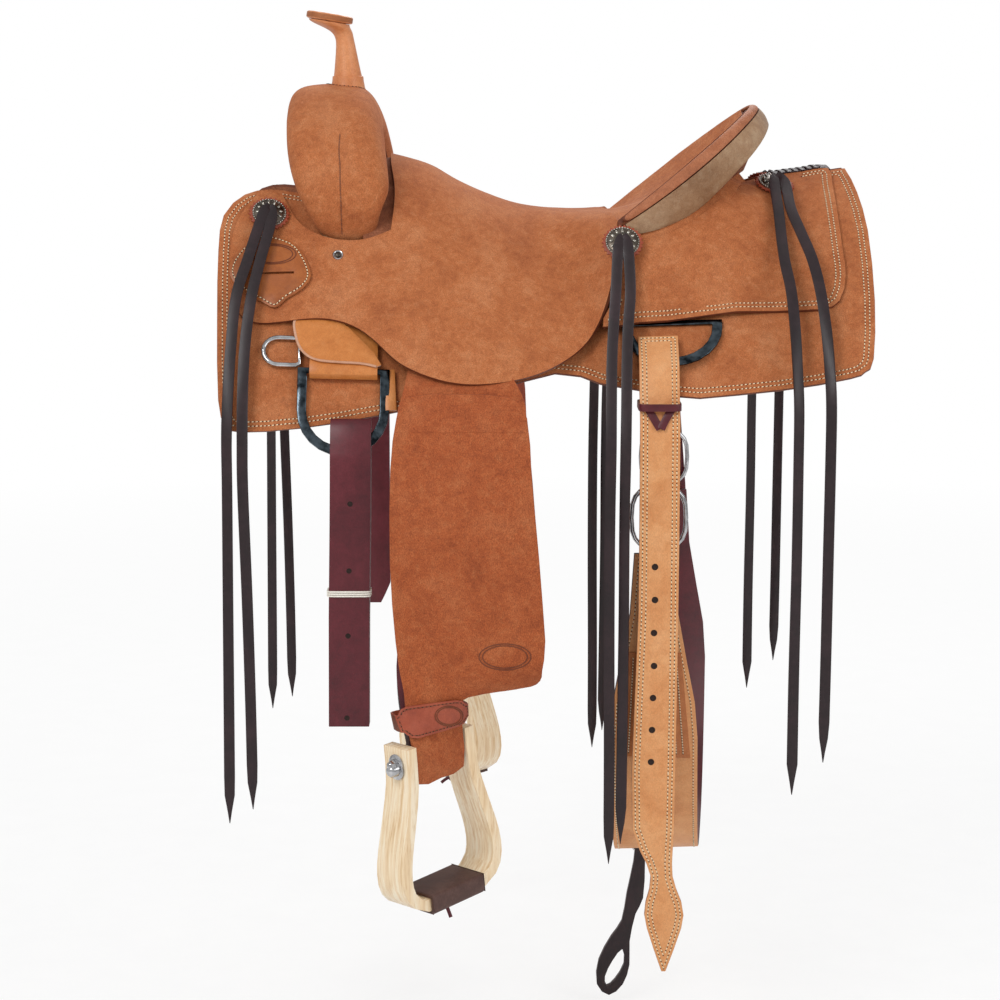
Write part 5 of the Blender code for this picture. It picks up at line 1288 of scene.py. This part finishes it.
# %% Stirrup bolts
WASHER_RADII = (11 * MM, 8 * MM)
LACE_TAILS = ((-14, 4, 9), (9, -6, 14), (-3, 8, 6))
for label, side in SIDES:
    low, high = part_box(f"stirrup_bolt_{label}")
    middle = (low + high) / 2
    outward = Vector((-1, side, 0)).normalized()
    for end, way in enumerate((outward, -outward)):
        from_outside = middle + way * 0.12 + Vector((0, 0, 9 * MM))
        hit = WOOD[label].ray_cast(from_outside, -way)[0]
        foot = Vector((hit.x, hit.y, middle.z))
        wide = WASHER_RADII[end]
        washer = lathe(f"bolt_washer_{label}_{end + 1}",
                       ((wide, -0.2 * MM), (wide, 1.2 * MM), (wide - 0.9 * MM, 1.7 * MM),
                        (6 * MM, 1.7 * MM)), 40)
        nut = lathe(f"bolt_nut_{label}_{end + 1}",
                    ((6.6 * MM, 1.2 * MM), (6.6 * MM, 5.5 * MM), (5.4 * MM, 6.4 * MM), (5.0 * MM, 9 * MM),
                     (3.4 * MM, 11.4 * MM), (1 * MM, 12.4 * MM)), 6)
        for piece in (washer, nut):
            fit(piece, BRIGHT_STEEL, foot, way, f"stirrup_{label}", 40)
    low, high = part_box(f"stirrup_tread_{label}")
    under = Vector(((low.x + high.x) / 2, (low.y + high.y) / 2, low.z - 0.6 * MM))
    for k, (dx, dy, drop) in enumerate(LACE_TAILS):
        tail = [under, under + Vector((dx / 2, dy / 2, -3)) * MM, under + Vector((dx, dy, -drop)) * MM]
        strip(f"tread_lace_{label}_{k + 1}", curve_through(tail, 5), 4 * MM, 1.6 * MM,
              Vector((0.3, side, 0)), BURGUNDY, f"stirrup_{label}")
print("bolts and tread laces")

# %% [markdown]
# ## Screws, holes, laces and ties
# The seat is held by a screw with a cup washer below the swell on each side. The billets and the
# latigo are punched, a burgundy lace is tied round the near billet with a V below it, and a white
# string ties up the latigo's spare turns.

# %% Screws and punched holes
SCREW_PIXEL = (338, 255)
BILLET_HOLES = ((655, 567), (655, 600), (654, 633), (654, 666), (653, 698), (652, 730), (651, 762))
LATIGO_HOLES = ((350, 504), (349, 571), (348, 636), (347, 718))
screw_point, screw_normal = on_leather(SCREW_PIXEL, "seat")
for label, side in SIDES:
    cup = lathe(f"seat_screw_cup_{label}",
                ((6.4 * MM, -0.4 * MM), (6.4 * MM, 0.5 * MM), (5.4 * MM, 1.5 * MM), (4.4 * MM, 1.3 * MM),
                 (3.8 * MM, 0.3 * MM)), 40)
    head = lathe(f"seat_screw_head_{label}",
                 ((3.5 * MM, 0.0), (3.4 * MM, 1.1 * MM), (2.4 * MM, 1.9 * MM), (1.0 * MM, 2.2 * MM)), 24)
    for piece, finish in ((cup, BRIGHT_STEEL), (head, NICKEL_DARK)):
        fit(piece, finish, on_side(side, screw_point), on_side(side, screw_normal), "saddle")


def punch(name, pixel, node, body, size):
    """A punched hole as a low ring with a dark top of painted shade, on the leather seen at a pixel."""
    point, normal = on_leather(pixel, node)
    ring = lathe(name, ((size * 1.25, -0.2 * MM), (size * 1.2, 0.25 * MM), (size, 0.35 * MM),
                        (size * 0.92, 0.10 * MM)), 20)
    fit(ring, HOLE_SHADE, point, normal, body)


for k, pixel in enumerate(BILLET_HOLES):
    punch(f"billet_hole_{k + 1}", pixel, "rear_billet_near", "rear_ring_near", 3.0 * MM)
for k, pixel in enumerate(LATIGO_HOLES):
    punch(f"latigo_hole_{k + 1}", pixel, "latigo", "latigo_strap", 2.4 * MM)

# %% Lace and ties
NEARBY = 50 * MM
BAND_STEPS = 40
SQUARENESS = 0.25


def loop_round(name, node, height, width, thick, gap, finish, body):
    """A band tied round a hanging strap at a height, read from the strap's own section there."""
    points = np.array([v.co for v in FINISHED[node]["piece"].data.vertices])
    section = points[np.abs(points[:, 2] - height) < NEARBY]
    x0, x1 = section[:, 0].min() - gap, section[:, 0].max() + gap
    y0, y1 = section[:, 1].min() - gap, section[:, 1].max() + gap
    middle = Vector(((x0 + x1) / 2, (y0 + y1) / 2, height))
    path = []
    outs = []
    for k in range(BAND_STEPS):
        a = 2 * math.pi * k / BAND_STEPS
        c, s = math.cos(a), math.sin(a)
        # A low power of the circle makes the band hug the strap's square corners
        c, s = math.copysign(abs(c) ** SQUARENESS, c), math.copysign(abs(s) ** SQUARENESS, s)
        path.append(middle + Vector(((x1 - x0) / 2 * c, (y1 - y0) / 2 * s, 0)))
        outs.append(Vector((math.cos(a) * 0.5, math.sin(a), 0)).normalized())
    strip(name, path, width, thick, outs, finish, body, closed=True)


BAND_PIXEL = (661, 407)
V_ARMS = (((648, 409), (652, 416), (660, 429)), ((673, 409), (668, 416), (661, 429)))
TIE_PIXEL = (350, 594)
TIE_PITCH = 2.4 * MM
TIE_TURNS = 3
band_height = on_leather(BAND_PIXEL, "rear_billet_near")[0].z
loop_round("billet_lace_band", "rear_billet_near", band_height, 8 * MM, 1.6 * MM, 0.8 * MM, BURGUNDY,
           "rear_ring_near")
for k, pixels in enumerate(V_ARMS):
    seen = [on_leather(p, "rear_billet_near") for p in pixels]
    path = curve_through([p + n * (1.6 + 0.5 * k) * MM for p, n in seen], 5)
    strip(f"billet_lace_v_{k + 1}", path, 8.5 * MM, 2.0 * MM, seen[0][1], BURGUNDY, "rear_ring_near")
tie_height = on_leather(TIE_PIXEL, "latigo")[0].z
WHITE_STRING = plain_fibre("white_cotton_string", "#d9d2c4", "#f7f3ea", 0.6 * MM, 0.8)
for k in range(TIE_TURNS):
    loop_round(f"latigo_tie_{k + 1}", "latigo", tie_height + (k - 1) * TIE_PITCH, 1.8 * MM, 1.8 * MM,
               1.1 * MM, WHITE_STRING, "latigo_strap")

# %% [markdown]
# ## Lacing of the rear jockeys
# The two rear jockeys meet behind the cantle and are drawn together by a dark lace, plaited back
# and forth across the joint like a shoe's.

# %% Jockey lacing
LACING_X = (0.262, 0.332)
CROSSINGS = 9
LACE_HALF = 15 * MM
LACE_LIFT = Vector((0, 0, 0.6 * MM))


def top_of(x, y):
    """The rear jockey's surface straight below (x, y)."""
    node = "rear_jockey_near" if y < 0 else "rear_jockey_off"
    hit = FINISHED[node]["tree"].ray_cast(Vector((x, y, 0.4)), Vector((0, 0, -1)))
    if hit[0] is None:
        hit = FINISHED[node]["tree"].find_nearest(Vector((x, y, 0.08)))
    return hit[0]


step = (LACING_X[1] - LACING_X[0]) / CROSSINGS
for k in range(CROSSINGS):
    for way in (-1, 1):
        x0 = LACING_X[0] + step * k
        a = top_of(x0, -way * LACE_HALF) + LACE_LIFT
        b = top_of(x0 + 1.3 * step, way * LACE_HALF) + LACE_LIFT
        crest = (a + b) / 2 + Vector((0, 0, (2.4 if way > 0 else 3.6) * MM))
        hand = "left" if way < 0 else "right"
        strip(f"jockey_lace_{k + 1}_{hand}", curve_through([a, crest, b], 6), 5.5 * MM, 1.8 * MM,
              Vector((0, 0, 1)), DARK_EDGE, "saddle")
print("lace crossings", CROSSINGS)

# %% [markdown]
# ## Stamps, cantle stitches, buckle tongues, ring
# Fender, keeper and hobble strap each carry a plain pressed oval. The cantle's roll and band are
# sewn through along their joint. Each cinch buckle has its tongue, and the connecting strap hangs
# from the cinch by a ring.

# %% Plain oval stamps
STAMP_STEPS = 48


def stamp(name, centre, half_wide, half_tall, node, body):
    """Two thin raised lines in an oval, laid on the leather seen at a pixel, on both sides."""
    for label, side in SIDES:
        target = FINISHED[node.format(label)]["tree"]
        for ring, share in (("outer", 1.0), ("inner", 0.86)):
            path = []
            outs = []
            for k in range(STAMP_STEPS):
                a = 2 * math.pi * k / STAMP_STEPS
                pixel = (centre[0] + half_wide * share * math.cos(a),
                         centre[1] + half_tall * share * math.sin(a))
                seen = on_leather(pixel, node.format("near"))[0]
                near, normal, _, _ = target.find_nearest(on_side(side, seen))
                path.append(near + normal * 0.12 * MM)
                outs.append(normal)
            strip(f"{name}_{ring}_{label}", path, 1.3 * MM, 0.5 * MM, outs, BROWN_EDGE, body.format(label),
                  closed=True)


stamp("fender_stamp", (505, 657), 26, 13, "fender_{}", "leg_{}")
stamp("keeper_stamp", (272, 254), 24, 10, "latigo_keeper_{}", "saddle")
stamp("hobble_stamp", (449, 716), 14, 10, "hobble_strap_{}", "leg_{}")

# %% Cantle stitches
BY_THE_ROLL = 7 * MM
roll = FINISHED["cantle_roll"]["tree"]
rows = inset_row("cantle_binding", 2.5 * MM, lambda p: roll.find_nearest(p)[3] < BY_THE_ROLL)
sew("cantle_stitches", rows, "saddle")

# %% Buckle tongues and ring
def rod(name, points, radius, finish, body, steps=4):
    """A round rod through points, with closed ends."""
    path = curve_through(points, steps)
    line = bpy.data.curves.new(name, "CURVE")
    line.dimensions = "3D"
    line.bevel_depth = radius
    line.bevel_resolution = 3
    line.use_fill_caps = True
    spline = line.splines.new("POLY")
    spline.points.add(len(path) - 1)
    for point, p in zip(spline.points, path):
        point.co = (*p, 1)
    made = bpy.data.objects.new(name, line)
    bpy.context.scene.collection.objects.link(made)
    pick(made)
    bpy.ops.object.convert(target="MESH")
    made = bpy.context.object
    give(made, finish)
    smooth(made, 50)
    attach(made, body)


for label, side in SIDES:
    low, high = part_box(f"cinch_buckle_{label}")
    x, y = (low.x + high.x) / 2, (low.y + high.y) / 2
    tongue = [(x, y, low.z + 3 * MM), (x, y + side * 6 * MM, low.z + 25 * MM),
              (x, y + side * 7 * MM, high.z - 20 * MM), (x, y + side * 3.5 * MM, high.z - 2 * MM)]
    rod(f"buckle_tongue_{label}", tongue, 2.2 * MM, BRIGHT_STEEL, "flank")
RING_RADIUS = 9 * MM
RING_X = 0.119
ring_centre = Vector((RING_X, 0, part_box("connector_strap")[1].z + 1 * MM - RING_RADIUS))
ring_path = [ring_centre + Vector((math.cos(a), 0, math.sin(a))) * RING_RADIUS
             for a in [2 * math.pi * k / 24 for k in range(25)]]
rod("connector_ring", ring_path, 1.6 * MM, BRIGHT_STEEL, "connector", 1)
print("details done")

# %% [markdown]
# ## Floor and light
# The floor is pale and plain. To the camera it glows faintly, so that it stays near white and
# still takes the saddle's shadow. Three soft lamps and a pale room light the leather evenly.

# %% Floor
FLOOR_GAP = 12 * MM
FLOOR_Z = CAD_BOX[0][2] - FLOOR_GAP
bpy.ops.object.select_all(action="DESELECT")
bpy.ops.mesh.primitive_plane_add(size=400, location=(0, 0, FLOOR_Z))
floor = bpy.context.object
floor.name = "studio_floor"
paint, tree, shader, place = start_material("pale_floor_paint")
grit = noise(tree, place, 60 * MM, 3.0)
tone = ramp(tree, (grit, "Fac"), ((0.3, "#f1f1f1"), (0.7, "#f6f6f6")))
shader.inputs["Roughness"].default_value = 0.9
tree.links.new(tone.outputs["Color"], shader.inputs["Base Color"])
path = add(tree, "ShaderNodeLightPath")
glow = add(tree, "ShaderNodeEmission", None, {"Color": (1, 1, 1, 1), "Strength": 1.0})
far = add(tree, "ShaderNodeVectorMath", {"operation": "LENGTH"}, {0: place})
white = add(tree, "ShaderNodeMapRange", None, {"Value": (far, "Value"), "From Min": 0.8, "From Max": 4.5,
                                              "To Min": 0.72, "To Max": 1.0})
share = add(tree, "ShaderNodeMath", {"operation": "MULTIPLY"}, {0: (path, "Is Camera Ray"),
                                                               1: (white, "Result")})
blend = add(tree, "ShaderNodeMixShader", None, {"Fac": (share, "Value"), 1: (shader, "BSDF"),
                                               2: (glow, "Emission")})
tree.links.new(blend.outputs["Shader"], tree.nodes["Material Output"].inputs["Surface"])
give(floor, paint)

# %% World and lamps
world = bpy.data.worlds.new("pale_room")
bpy.context.scene.world = world
world.use_nodes = True
tree = world.node_tree
path = add(tree, "ShaderNodeLightPath")
level = add(tree, "ShaderNodeMapRange", None,
            {"Value": (path, "Is Camera Ray"), "To Min": 0.62, "To Max": 1.0})
tree.links.new(level.outputs["Result"], tree.nodes["Background"].inputs["Strength"])
tree.nodes["Background"].inputs["Color"].default_value = (1, 1, 1, 1)


def lamp(name, place, aim, size, watts):
    """A round soft lamp at a place, turned towards its aim."""
    made = bpy.data.objects.new(name, bpy.data.lights.new(name, "AREA"))
    made.data.shape = "DISK"
    made.data.size = size
    made.data.energy = watts
    made.location = place
    made.rotation_mode = "QUATERNION"
    made.rotation_quaternion = (Vector(aim) - Vector(place)).to_track_quat("-Z", "Y")
    bpy.context.scene.collection.objects.link(made)


lamp("key_softbox", (-1.6, -2.4, 1.9), (0, 0, -0.2), 1.4, 42)
lamp("fill_softbox", (2.2, -2.0, 1.0), (0, 0, -0.3), 1.6, 20)
lamp("back_softbox", (0.3, 2.4, 1.8), (0, 0, -0.2), 1.6, 30)
print("floor at", round(FLOOR_Z, 3))
